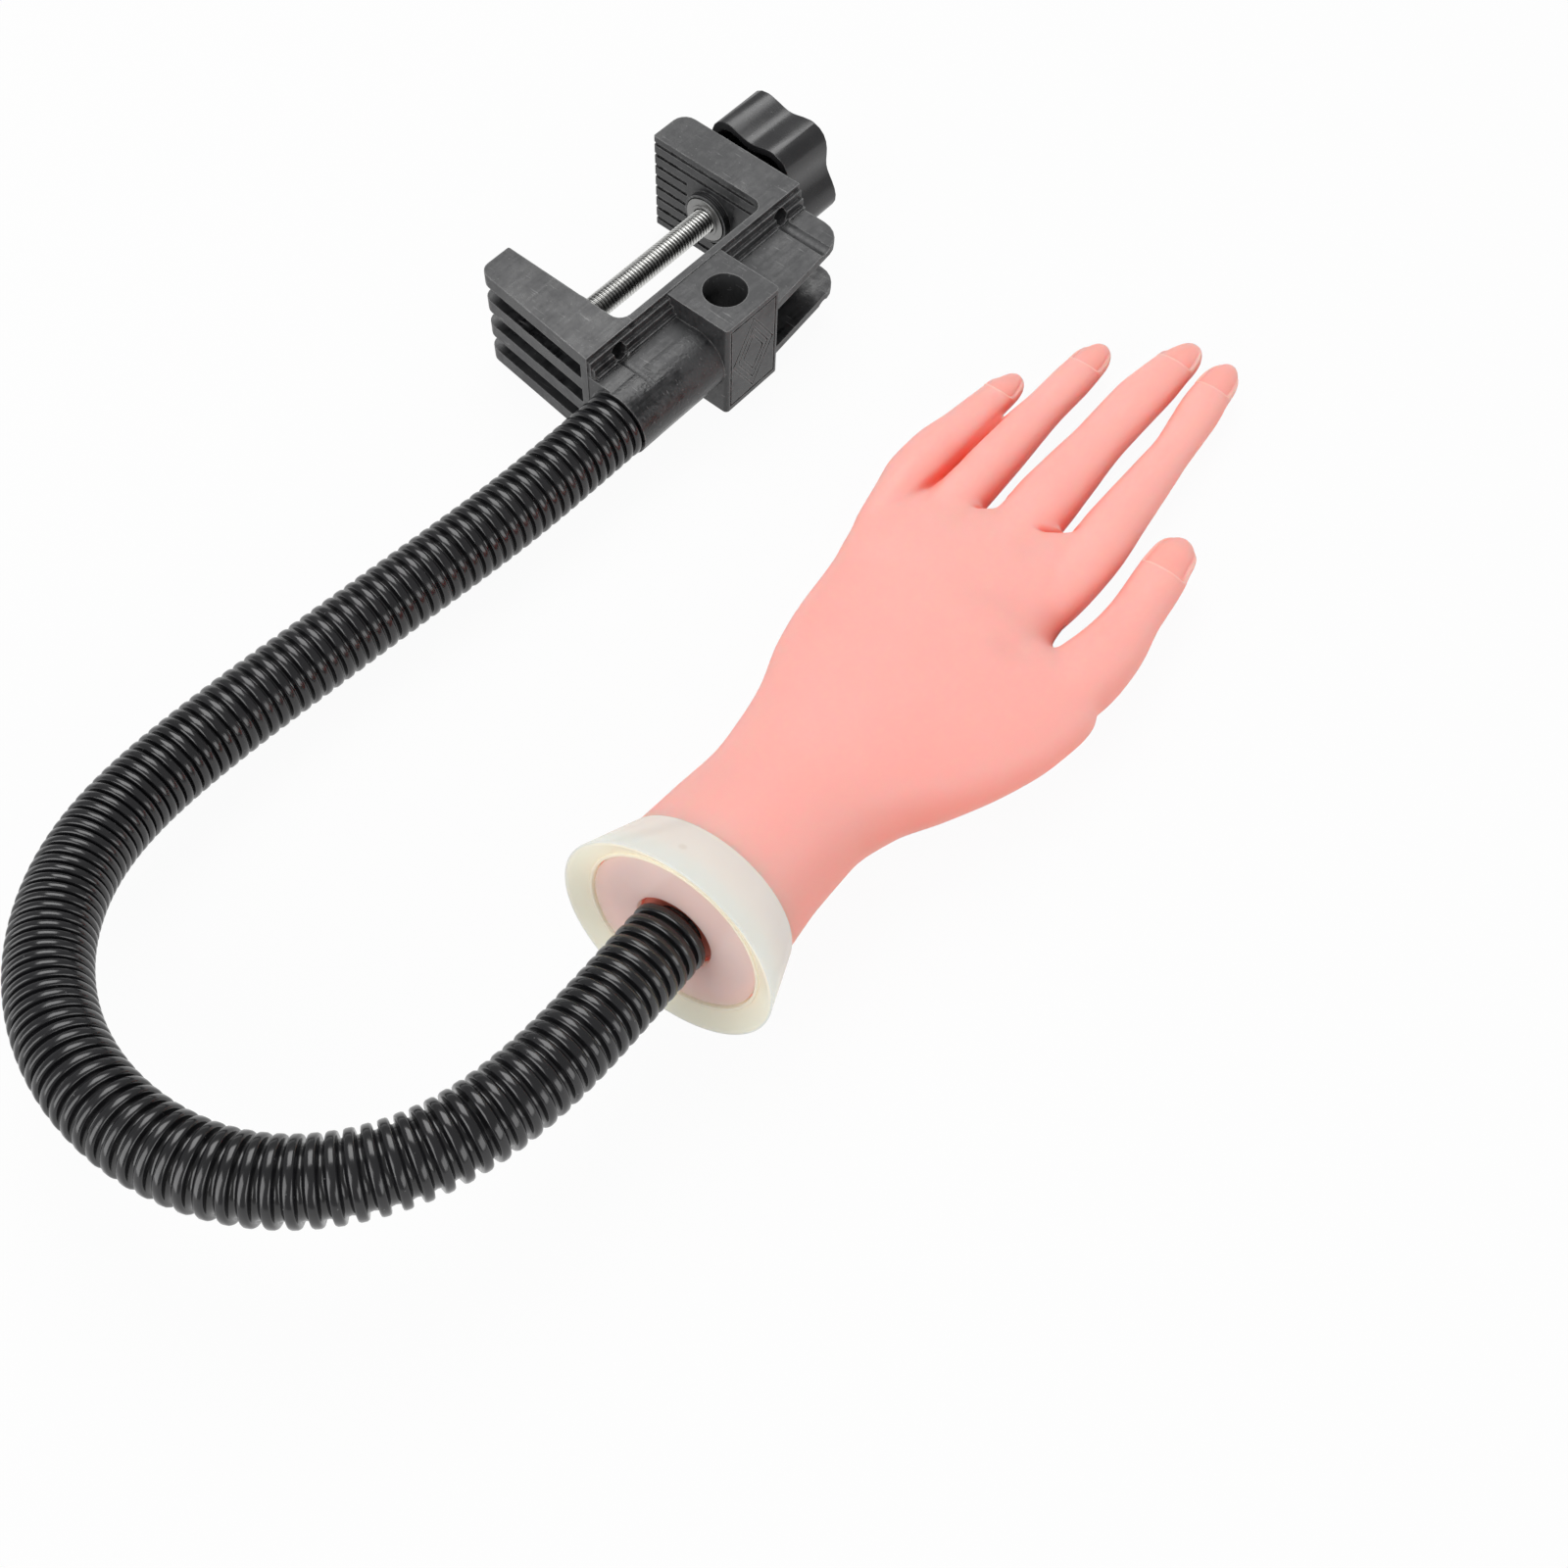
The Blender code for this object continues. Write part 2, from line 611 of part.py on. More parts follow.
def make_thread_insert(seat):
    """The metal flanged bush that the screw turns in."""
    floor = JAW_OPENING - BOSS_PROUD + RECESS_DEPTH - FIT_GAP
    bore = SCREW_RADIUS + FIT_GAP
    profile = [
        (bore, ARM_OUTSIDE),
        (INSERT_RADIUS, ARM_OUTSIDE),
        (INSERT_RADIUS, floor),
        (FLANGE_RADIUS, floor),
        (FLANGE_RADIUS, floor - FLANGE_THICKNESS),
        (INSERT_RADIUS, floor - FLANGE_THICKNESS),
        (INSERT_RADIUS, floor - FLANGE_THICKNESS - INSERT_NECK),
        (bore, floor - FLANGE_THICKNESS - INSERT_NECK),
    ]
    item = turned("thread_insert", profile, True, PARTS, seat)
    return finish(item, material("insert_steel", (0.7, 0.7, 0.68), 0.3, 1.0))


def make_clamp_screw(seat):
    """The screw, from its seat in the pad to its end inside the knob."""
    tip = PAD_TO_JAW + PAD_THICKNESS - PAD_SOCKET + FIT_GAP
    far = KNOB_X + SCREW_IN_KNOB
    item = turned("clamp_screw", chamfered_bar(SCREW_RADIUS, tip, far, SCREW_TIP_CHAMFER), False, PARTS, seat,
                  steps=SMALL_SIDES)
    return finish(item, material("screw_steel", (0.75, 0.75, 0.73), 0.25, 1.0))


def make_pressure_pad(seat):
    """The loose pad on the screw's tip."""
    near, far = PAD_TO_JAW, PAD_TO_JAW + PAD_THICKNESS
    bore = SCREW_RADIUS + FIT_GAP
    profile = [
        (0, far - PAD_SOCKET),
        (bore, far - PAD_SOCKET),
        (bore, far),
        (PAD_RADIUS - PAD_CHAMFER, far),
        (PAD_RADIUS, far - PAD_CHAMFER),
        (PAD_RADIUS, near),
        (0, near),
    ]
    item = turned("pressure_pad", profile, False, PARTS, seat)
    return finish(item, material("pad_plastic", (0.02, 0.02, 0.022), 0.45))


def lobed(lobe, flute):
    """The knob's outline, whose radius swings between its lobes and its flutes."""
    count = KNOB_LOBES * KNOB_POINTS_A_LOBE
    mean, swing = (lobe + flute) / 2, (lobe - flute) / 2
    points = []
    for k in range(count):
        angle = 2 * math.pi * k / count
        radius = mean + swing * math.cos(KNOB_LOBES * (angle - math.radians(KNOB_PHASE_DEG)))
        points.append((radius * math.cos(angle), radius * math.sin(angle)))
    return points


def make_knob(seat):
    """The lobed knob, hollow towards the clamp, with a hub that holds the screw's end."""
    across = (math.pi / 2, 0, math.pi / 2)
    knob = flat_piece("knob", lobed(KNOB_LOBE_RADIUS, KNOB_FLUTE_RADIUS), KNOB_LENGTH, PARTS, seat,
                      (KNOB_X + KNOB_LENGTH / 2, 0, 0), across)
    edge = knob.modifiers.new("edge", "BEVEL")
    edge.width = KNOB_EDGE
    edge.segments = KNOB_EDGE_STEPS
    edge.limit_method = "ANGLE"
    edge.angle_limit = math.radians(KNOB_EDGE_OVER_DEG)
    depth = KNOB_LENGTH - KNOB_END_WALL
    hollow = flat_piece("knob_hollow", lobed(KNOB_LOBE_RADIUS - KNOB_WALL, KNOB_FLUTE_RADIUS - KNOB_WALL),
                        depth + OVERRUN, CUTTERS, seat, (KNOB_X + (depth - OVERRUN) / 2, 0, 0), across)
    hub_start = BOSS_END + KNOB_HUB_TO_ARM
    hub = cylinder("knob_hub", KNOB_HUB_RADIUS, (hub_start, 0, 0), KNOB_X + depth + OVERRUN - hub_start,
                   parent=seat)
    bore = cylinder("knob_bore", SCREW_RADIUS + FIT_GAP, (hub_start - OVERRUN, 0, 0),
                    KNOB_X + SCREW_IN_KNOB + FIT_GAP - hub_start + OVERRUN, parent=seat, sides=SMALL_SIDES)
    cut(knob, hollow)
    join(knob, hub)
    cut(knob, bore)
    return finish(knob, material("knob_plastic", (0.012, 0.012, 0.013), 0.22))


# The flexible arm

def smooth_table(values, shares):
    """Values at equal steps, joined smoothly and level at both ends, read at shares from 0 to 1."""
    table = np.array(values, float)
    slope = np.zeros(len(table))
    slope[1:-1] = (table[2:] - table[:-2]) / 2
    place_at = np.clip(shares, 0, 1) * (len(table) - 1)
    k = np.minimum(place_at.astype(int), len(table) - 2)
    t = place_at - k
    return (table[k] * (2 * t**3 - 3 * t**2 + 1) + slope[k] * (t**3 - 2 * t**2 + t)
            + table[k + 1] * (3 * t**2 - 2 * t**3) + slope[k + 1] * (t**3 - t**2))


class Route:
    """The hose's centre line, from the barrel's mouth to the wrist disc."""

    def __init__(self, start):
        self.along = np.linspace(0, HOSE_LENGTH, ROUTE_STEPS + 1)
        shares = (self.along - HOSE_STRAIGHT) / (HOSE_LENGTH - 2 * HOSE_STRAIGHT)
        yaw = np.radians(smooth_table(HOSE_HEADING_DEG, shares))
        climb = np.radians(smooth_table((-math.degrees(CLAMP_LEAN), *HOSE_CLIMB_DEG), shares))
        level = np.cos(climb)
        self.ahead = np.stack([np.cos(yaw) * level, np.sin(yaw) * level, np.sin(climb)], axis=1)
        steps = (self.ahead[1:] + self.ahead[:-1]) / 2 * (HOSE_LENGTH / ROUTE_STEPS)
        self.points = np.array(start) + np.vstack([np.zeros(3), np.cumsum(steps, axis=0)])

    def at(self, distance):
        """The point at a distance, straight on past either end."""
        inside = min(max(distance, 0), HOSE_LENGTH)
        point = Vector([np.interp(inside, self.along, axis) for axis in self.points.T])
        return point + self.direction(inside) * (distance - inside)

    def direction(self, distance):
        return Vector([np.interp(distance, self.along, axis) for axis in self.ahead.T]).normalized()


def rib_edges():
    """Where each rib starts and ends along the hose, from its spacing shares."""
    count = sum(SECTION_RIBS)
    spacing = smooth_table(RIB_SPACING_SHARES, (np.arange(count) + 0.5) / count)
    return np.concatenate([[0], np.cumsum(spacing)]) / spacing.sum() * HOSE_LENGTH


def make_hose_section(route, number, edges, look):
    """One length of ribbed hose, from one arm joint to the next, with its bore."""
    middles = (edges[1:] + edges[:-1]) / 2
    distances = sorted([*edges, *middles])
    distances[0] += HOSE_BREAK / 2 if number > 1 else FIT_GAP
    distances[-1] -= HOSE_BREAK / 2 if number < len(SECTION_RIBS) else FIT_GAP
    radii = [HOSE_RADIUS if k % 2 else HOSE_VALLEY for k in range(len(distances))]
    origin = route.at(edges[0])
    hose = tube(f"hose_section_{number}", [route.at(d) for d in distances], radii, PARTS, origin)
    inner = np.concatenate([[edges[0] - OVERRUN], edges[1:-1:BORE_RIBS], [edges[-1] + OVERRUN]])
    radii = [HOSE_BORE] * len(inner)
    bore = tube(f"hose_bore_{number}", [route.at(d) for d in inner], radii, CUTTERS, origin)
    cut(hose, bore)
    return finish(hose, look)


def make_core_section(route, number, edges, look):
    """One length of the bendable core, with round ends that turn against each other at the joints."""
    first, last = edges[0], edges[-1]
    round_near, round_far = number > 1, number < len(SECTION_RIBS)
    near = first + (CORE_BREAK / 2 if round_near else PLUG_IN_HOSE + FIT_GAP)
    far = last - (CORE_BREAK / 2 if round_far else PLUG_IN_HOSE + FIT_GAP)
    turns = [math.radians(angle) for angle in CORE_END_DEG]
    start = [(near + CORE_RADIUS * (1 - math.cos(a)), CORE_RADIUS * math.sin(a)) for a in turns]
    end = [(far - CORE_RADIUS * (1 - math.cos(a)), CORE_RADIUS * math.sin(a)) for a in reversed(turns)]
    start = start if round_near else [(near, CORE_RADIUS)]
    end = end if round_far else [(far, CORE_RADIUS)]
    room = end[0][0] - start[-1][0]
    count = max(1, round(room / CORE_STEP))
    middle = [(start[-1][0] + room * k / count, CORE_RADIUS) for k in range(1, count)]
    steps = start + middle + end
    core = tube(f"core_section_{number}", [route.at(d) for d, _ in steps], [r for _, r in steps], PARTS,
                route.at(first))
    return finish(core, look)


def make_arm(route):
    """The hose and core sections between the arm's joints."""
    hose_look = material("hose_plastic", (0.012, 0.012, 0.013), 0.2)
    core_look = material("core_steel", (0.5, 0.5, 0.5), 0.4, 1.0)
    ribs = rib_edges()
    starts = np.concatenate([[0], np.cumsum(SECTION_RIBS)])
    for number, (first, last) in enumerate(zip(starts, starts[1:]), 1):
        edges = ribs[first:last + 1]
        make_hose_section(route, number, edges, hose_look)
        make_core_section(route, number, edges, core_look)


def make_base_plug(seat):
    """The plug in the barrel's socket that carries the hose and butts on its core."""
    profile = chamfered_bar(PLUG_RADIUS, BARREL_MOUTH - PLUG_IN_HOSE, BARREL_MOUTH + PLUG_IN_BARREL,
                            PLUG_CHAMFER)
    item = turned("base_plug", profile, False, PARTS, seat, (0, BARREL_Y, 0), steps=SMALL_SIDES)
    return finish(item, material("plug_plastic", (0.03, 0.03, 0.03), 0.5))


# The wrist, with places measured along its axis from the disc's outer face

def make_wrist_plug(wrist):
    """The plug that joins the hose's end to the socket in the hand."""
    profile = chamfered_bar(PLUG_RADIUS, -PLUG_IN_HOSE, PLUG_IN_HAND, PLUG_CHAMFER)
    item = turned("wrist_plug", profile, False, PARTS, wrist, steps=SMALL_SIDES)
    return finish(item, material("wrist_plug_plastic", (0.03, 0.03, 0.03), 0.5))


def cup_inside(along):
    """Radius of the cup's inner wall at a place along the axis."""
    outer = np.interp(along + DISC_RECESS, (0, CUP_LENGTH), (CUP_RIM_RADIUS, CUP_END_RADIUS))
    return float(outer) - CUP_WALL


def make_wrist_cup(wrist):
    """The flared cup at the wrist: an outer wall, and a shallow funnel that drops to the disc."""
    end = CUP_LENGTH - DISC_RECESS
    inner = DISC_RADIUS + FIT_GAP
    back = DISC_THICKNESS
    profile = [
        (CUP_END_RADIUS - CUP_WALL, end),
        (CUP_END_RADIUS, end),
        (CUP_RIM_RADIUS, -DISC_RECESS),
        (CUP_RIM_RADIUS - CUP_RIM_WIDTH, -DISC_RECESS),
        (inner + CUP_LIP_WIDTH, -CUP_LIP_HEIGHT / 2),
        (inner + CUP_LIP_WIDTH, -CUP_LIP_HEIGHT),
        (inner, -CUP_LIP_HEIGHT),
        (inner, back),
        (cup_inside(back), back),
    ]
    item = turned("wrist_cup", profile, True, PARTS, wrist, steps=CUP_STEPS)
    return finish(item, material("cup_plastic", (0.86, 0.84, 0.8), 0.35, alpha=0.8))


def make_end_disc(wrist):
    """The disc in the cup's mouth that the hose's end meets."""
    profile = [
        (WRIST_BORE, DISC_THICKNESS),
        (DISC_RADIUS, DISC_THICKNESS),
        (DISC_RADIUS, 0),
        (WRIST_BORE, 0),
    ]
    item = turned("end_disc", profile, True, PARTS, wrist, steps=CUP_STEPS)
    return finish(item, material("disc_plastic", (0.9, 0.72, 0.66), 0.35, alpha=0.8))


def make_socket_tube(wrist):
    """The blind tube in the hand that turns on the wrist plug."""
    near = DISC_THICKNESS + FIT_GAP
    far = near + SOCKET_LENGTH
    profile = [
        (0, far),
        (HOSE_RADIUS, far),
        (HOSE_RADIUS, near),
        (WRIST_BORE, near),
        (WRIST_BORE, far - SOCKET_END_WALL),
        (0, far - SOCKET_END_WALL),
    ]
    item = turned("socket_tube", profile, False, PARTS, wrist)
    return finish(item, material("socket_plastic", (0.85, 0.5, 0.45), 0.4))


# The hand, in a level frame whose origin is the centre of the cup's rim

def hand_height(share):
    """Height of the hand's middle at a share of its length."""
    places, drops = zip(*DROP_SHARES)
    return -HAND_DROP * float(np.interp(share, places, drops))


def ring_points(centre, half_width, half_depth, count, squareness=0, slant=0):
    """A ring across the hand at its centre, an ellipse or a little squarer, which may slant."""
    power = 1 / (1 + squareness)
    points = []
    for k in range(count):
        angle = 2 * math.pi * k / count
        side, up = math.cos(angle), math.sin(angle)
        aside = half_width * math.copysign(abs(side) ** power, side)
        above = half_depth * math.copysign(abs(up) ** power, up)
        points.append(Vector((centre[0] + slant * aside, centre[1] + aside, centre[2] + above)))
    return points


def make_palm(level):
    """Wrist and palm, from the cup to just past the knuckles."""
    rings = []
    for along, thumb_side, little_side, depth, slant in PALM_SHARES:
        low, high = thumb_side * PALM_BREADTH, little_side * PALM_BREADTH
        centre = (along * HAND_LENGTH, (low + high) / 2, hand_height(along))
        rings.append(ring_points(centre, (high - low) / 2, depth * PALM_DEPTH, HAND_RING_POINTS,
                                 PALM_SQUARENESS_SHARE, slant))
    return loft("hand", rings, PARTS, level)


def finger_sections(rows):
    """Centre, half width and half depth at each ring of a finger, with its round tip."""
    (last, last_side, last_half), (tip, tip_side, _) = rows[-2:]
    turns = [math.radians(angle) for angle in FINGER_TIP_DEG]
    end = [(last + (tip - last) * math.sin(a), last_side + (tip_side - last_side) * math.sin(a),
            last_half * math.cos(a)) for a in turns]
    sections = []
    for along, side, half in [*rows[:-1], *end]:
        reach = half * PALM_BREADTH
        share = (along - rows[0][0]) / (tip - rows[0][0])
        depth = FINGER_ROOT_DEPTH_SHARE + (FINGER_TIP_DEPTH_SHARE - FINGER_ROOT_DEPTH_SHARE) * share
        sections.append((along * HAND_LENGTH, side * PALM_BREADTH, hand_height(along), reach, reach * depth))
    return sections


def make_finger(name, level, rows):
    """A finger from its root inside the palm to its round tip."""
    rings = [ring_points((x, y, z), reach, depth, FINGER_RING_POINTS)
             for x, y, z, reach, depth in finger_sections(rows)]
    return loft(name, rings, CUTTERS, level)


def make_nail_bed(name, level, rows):
    """A cutter that sinks the top of a fingertip, from the cuticle to past the tip."""
    table = np.array(finger_sections(rows))
    start = NAIL_SHARES[name] * HAND_LENGTH
    places = [start, *(x for x in table[:, 0] if x > start + OVERRUN), table[-1, 0] + OVERRUN]
    low, high = math.radians(NAIL_FROM_DEG), math.radians(180 - NAIL_FROM_DEG)
    turns = [low + (high - low) * k / NAIL_STEPS for k in range(NAIL_STEPS + 1)]
    rings = []
    for x in places:
        y, z, reach, depth = (float(np.interp(x, table[:, 0], column)) for column in table.T[1:])
        wide, deep = (max(size - NAIL_DEPTH, NAIL_DEPTH / 2) for size in (reach, depth))
        bed = [Vector((x, y + wide * math.cos(a), z + deep * math.sin(a))) for a in turns]
        above = [Vector((x, y + (reach + OVERRUN) * math.cos(a), z + (depth + OVERRUN) * math.sin(a)))
                 for a in reversed(turns)]
        rings.append(bed + above)
    return loft(f"{name}_nail_bed", rings, CUTTERS, level)


def make_hand(level, wrist):
    """The soft hand: palm and fingers in one moulding, a collar in the cup and a bore for its socket."""
    hand = make_palm(level)
    fingers = [make_finger(name, level, rows) for name, rows in FINGER_SHARES.items()]
    near, far = DISC_THICKNESS + FIT_GAP, CUP_LENGTH - DISC_RECESS
    collar_profile = [
        (0, far + COLLAR_TAPER),
        (cup_inside(far) - CUP_WALL, far + COLLAR_TAPER),
        (cup_inside(far) - FIT_GAP, far + FIT_GAP),
        (cup_inside(far) - FIT_GAP, far),
        (cup_inside(near) - FIT_GAP, near),
        (0, near),
    ]
    collar = turned("hand_collar", collar_profile, False, CUTTERS, wrist, steps=CUP_STEPS)
    bore = cylinder("hand_bore", HOSE_RADIUS + FIT_GAP, (near - OVERRUN, 0, 0),
                    OVERRUN + SOCKET_LENGTH + FIT_GAP, parent=wrist)
    front = box("cup_clearance", (-CUP_LENGTH, -CUP_RIM_RADIUS, -CUP_RIM_RADIUS),
                (far + FIT_GAP, CUP_RIM_RADIUS, CUP_RIM_RADIUS), parent=wrist)
    cut(hand, front)
    pocket = cylinder("hand_pocket", DISC_RADIUS - POCKET_EDGE, (near - OVERRUN, 0, 0),
                      OVERRUN + POCKET_DEPTH, parent=wrist)
    join(hand, *fingers, collar)
    cut(hand, bore, pocket, *(make_nail_bed(name, level, rows) for name, rows in FINGER_SHARES.items()))
    return finish(hand, material("hand_vinyl", (0.86, 0.42, 0.36), 0.5), HAND_SHARP_DEG)


def main():
    lean = Euler((0, -CLAMP_LEAN, 0)).to_matrix().to_4x4()
    seat = empty("clamp_seat", lean)
    make_clamp_frame(seat)
    make_thread_insert(seat)
    make_clamp_screw(seat)
    make_pressure_pad(seat)
    make_knob(seat)
    make_base_plug(seat)

    route = Route(lean @ Vector((BARREL_MOUTH, BARREL_Y, 0)))
    make_arm(route)

    end, ahead = route.at(HOSE_LENGTH), route.direction(HOSE_LENGTH)
    yaw, climb = math.atan2(ahead.y, ahead.x), math.asin(ahead.z)
    wrist = empty("wrist", Matrix.Translation(end) @ Euler((0, -climb, yaw)).to_matrix().to_4x4())
    level = empty("hand_level", Matrix.Translation(end - ahead * DISC_RECESS)
                  @ Euler((0, 0, yaw)).to_matrix().to_4x4())
    make_wrist_plug(wrist)
    make_wrist_cup(wrist)
    make_end_disc(wrist)
    make_socket_tube(wrist)
    make_hand(level, wrist)


main()
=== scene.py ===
"""Nail practice hand: the looks of a soft hand on a ribbed flexible arm with a screw clamp.

Everything is in metres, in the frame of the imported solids. The table that the object lies on is level.
"""
import json
import math

import bmesh
import bpy
import numpy as np
from mathutils import Euler, Matrix, Vector


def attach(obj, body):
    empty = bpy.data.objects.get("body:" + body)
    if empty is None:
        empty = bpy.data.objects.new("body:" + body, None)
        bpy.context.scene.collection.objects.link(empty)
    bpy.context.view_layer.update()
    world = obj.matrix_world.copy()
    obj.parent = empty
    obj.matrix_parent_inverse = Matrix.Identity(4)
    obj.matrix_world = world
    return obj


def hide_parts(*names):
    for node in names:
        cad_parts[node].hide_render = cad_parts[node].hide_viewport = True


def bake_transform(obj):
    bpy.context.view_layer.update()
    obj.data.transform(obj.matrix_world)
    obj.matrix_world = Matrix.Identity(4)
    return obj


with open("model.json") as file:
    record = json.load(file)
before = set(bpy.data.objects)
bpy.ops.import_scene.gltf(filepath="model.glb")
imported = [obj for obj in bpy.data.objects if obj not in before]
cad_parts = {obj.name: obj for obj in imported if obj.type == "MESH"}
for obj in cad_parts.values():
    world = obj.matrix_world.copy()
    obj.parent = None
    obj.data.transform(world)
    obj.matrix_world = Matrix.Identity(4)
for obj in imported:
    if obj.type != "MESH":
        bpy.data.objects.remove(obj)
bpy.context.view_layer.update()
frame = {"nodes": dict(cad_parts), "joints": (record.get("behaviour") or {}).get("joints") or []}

# Camera, from the photograph
CAMERA_AT = (-0.30594, -0.30880, 0.43024)
CAMERA_AHEAD = (0.4384, 0.3010, -0.8469)
CAMERA_RIGHT = (0.6399, -0.7662, 0.0590)
LENS_MM = 43.85
SENSOR_MM = 36.0

# Table
TABLE_Z = -0.01896
TABLE_SIZE = 6.0

# Places shared with the solids
BARREL_MOUTH = -0.0181
BARREL_Y = -0.0366
BARREL_TOP_Y = -0.0335
BARREL_END = 0.0167
BOSS_START = 0.0632
BOSS_RADIUS = 0.0086
SCREW_RADIUS = 0.004
SCREW_FROM = 0.0056
SCREW_TO = 0.0994

# Rounded edges
CLAMP_BEVEL = 0.0006
PAD_BEVEL = 0.0003
KNOB_BEVEL = 0.0005
INSERT_BEVEL = 0.0002
BEVEL_WELD = 0.00001
BEVEL_ANGLE_DEG = 35
CORNER_ROOM = 2.2
CORNER_STEPS = 3

# Screw thread
THREAD_PITCH = 0.00125
THREAD_SIDES = 32
THREAD_DEPTH_SHARES = (1, 0.72, 0.28, 0, 0, 0.28, 0.72, 1)
THREAD_DEPTH = 0.0008

# Hose
HOSE_RADIUS = 0.0106
HOSE_VALLEY = 0.0086
HOSE_LENGTH = 0.444
HOSE_STRAIGHT = 0.0212
SECTION_RIBS = (9, 19, 19, 24, 21, 20, 8)
RIB_SPACING_SHARES = (1.0, 1.0, 1.02, 0.98, 0.82, 0.76, 0.84, 1.1, 1.14, 1.02, 0.98)
HOSE_HEADING_DEG = (180, 176.5, 176.5, 179.5, 190.5, 220, 251.5, 283, 320.5, 353, 364.9)
HOSE_CLIMB_DEG = (-1, -0.5, 2.5, 6.5, 10, 9, 4, 0.5, -3.5, -5.7)
ROUTE_STEPS = 1776
HOSE_SIDES = 40
CREST_WIDTH = 0.0027
CREST_SHARE = 0.76
CREST_PROFILE = ((-1.0, 0.1), (-0.98, 0.55), (-0.84, 0.86), (-0.5, 0.985), (0, 1.0),
                 (0.5, 0.985), (0.84, 0.86), (0.98, 0.55), (1.0, 0.1))
BLEND_INSET = 0.006

# The length of hose whose two ends are listed from its far end
FROM_FAR_END = 2

# Wrist cup, disc and socket, with places along the wrist's axis from the disc's outer face
CUP_RIM_RADIUS = 0.0316
CUP_END_RADIUS = 0.0257
CUP_LENGTH = 0.0172
CUP_WALL = 0.0016
CUP_RIM_WIDTH = 0.0012
CUP_ROUND = 0.0004
DISC_RADIUS = 0.0244
DISC_RECESS = 0.003
DISC_THICKNESS = 0.002
DISC_HOLE = 0.0112
RING_WIDTH = 0.0009
RING_HEIGHT = 0.0007
SOCKET_LENGTH = 0.02
POCKET_EDGE = 0.0024
POCKET_DEPTH = 0.0105
COLLAR_OVERLAP = 0.002
GATE_MARK = (-0.1336, -0.1638, 0.0408)
LATHE_STEPS = 128
LATHE_SHARP_DEG = 40
GAP = 0.0003

# Hand: lengths run from the cup's rim to the middle fingertip, breadths are shares of the palm
HAND_LENGTH = 0.2855
PALM_BREADTH = 0.077
PALM_DEPTH = 0.031
HAND_DROP = 0.0245
PALM_SQUARENESS_SHARE = 0.06
DROP_SHARES = ((0, 0), (0.07, 0.08), (0.175, 0.24), (0.35, 0.47), (0.525, 0.63), (0.665, 0.755),
               (0.84, 0.9), (1.0, 0.985))
PALM_SHARES = (
    (0.045, -0.324, 0.33, 0.82, 0),
    (0.08, -0.312, 0.322, 0.79, 0),
    (0.123, -0.301, 0.316, 0.74, 0),
    (0.175, -0.303, 0.308, 0.67, 0),
    (0.228, -0.355, 0.33, 0.62, 0),
    (0.277, -0.457, 0.366, 0.59, 0),
    (0.336, -0.563, 0.438, 0.555, 0),
    (0.392, -0.632, 0.48, 0.52, 0),
    (0.448, -0.664, 0.504, 0.475, 0),
    (0.471, -0.62, 0.516, 0.45, 0),
    (0.487, -0.44, 0.528, 0.425, -0.03),
    (0.503, -0.35, 0.538, 0.405, -0.05),
    (0.53, -0.338, 0.555, 0.375, -0.1),
    (0.575, -0.34, 0.574, 0.32, -0.2),
    (0.61, -0.325, 0.555, 0.25, -0.28),
    (0.627, -0.29, 0.515, 0.16, -0.33),
)
FINGER_SHARES = {
    "little": ((0.522, 0.485, 0.078), (0.575, 0.506, 0.0935), (0.62, 0.5245, 0.104),
               (0.663, 0.524, 0.101), (0.712, 0.5085, 0.088), (0.761, 0.498, 0.0766),
               (0.789, 0.49, 0.0714), (0.8255, 0.4815, 0)),
    "ring": ((0.5235, 0.306, 0.084), (0.5765, 0.31, 0.101), (0.6285, 0.31, 0.104),
             (0.699, 0.309, 0.099), (0.7515, 0.311, 0.0935), (0.811, 0.305, 0.0825),
             (0.8495, 0.3, 0.083), (0.888, 0.2945, 0.0766), (0.9305, 0.29, 0)),
    "middle": ((0.541, 0.0425, 0.105), (0.5935, 0.0425, 0.124), (0.6565, 0.0395, 0.13),
               (0.73, 0.0395, 0.118), (0.8035, 0.0375, 0.104), (0.877, 0.0295, 0.105),
               (0.912, 0.0175, 0.099), (0.951, 0.006, 0.0857), (0.998, -0.0125, 0)),
    "index": ((0.541, -0.243, 0.097), (0.5935, -0.243, 0.114), (0.6495, -0.2395, 0.118),
              (0.723, -0.231, 0.105), (0.797, -0.2245, 0.0896), (0.835, -0.2205, 0.082),
              (0.87, -0.212, 0.0857), (0.909, -0.201, 0.0896), (0.944, -0.192, 0.082), (0.996, -0.188, 0)),
    "thumb": ((0.4085, -0.415, 0.11), (0.4435, -0.456, 0.145), (0.4715, -0.49, 0.149),
              (0.4995, -0.509, 0.146), (0.5245, -0.518, 0.139), (0.5555, -0.529, 0.1235),
              (0.6085, -0.519, 0.104), (0.6645, -0.506, 0.1), (0.689, -0.499, 0.091), (0.7255, -0.495, 0)),
}
FINGER_ROOT_DEPTH_SHARE = 1.0
FINGER_TIP_DEPTH_SHARE = 0.88
LOFT_SIDES = 48
LOFT_STEP = 0.0015
TIP_STEPS = 9
TIP_END_DEG = 86
VOXEL = 0.0007
SMOOTH_FACTOR = 0.6
SMOOTH_ROUNDS = 16
KNUCKLE_ROUNDS = 60
HAND_SHARP_DEG = 50
KNUCKLE_SHARES = ((0.37, 0), (0.43, 1), (0.6, 1), (0.64, 0))

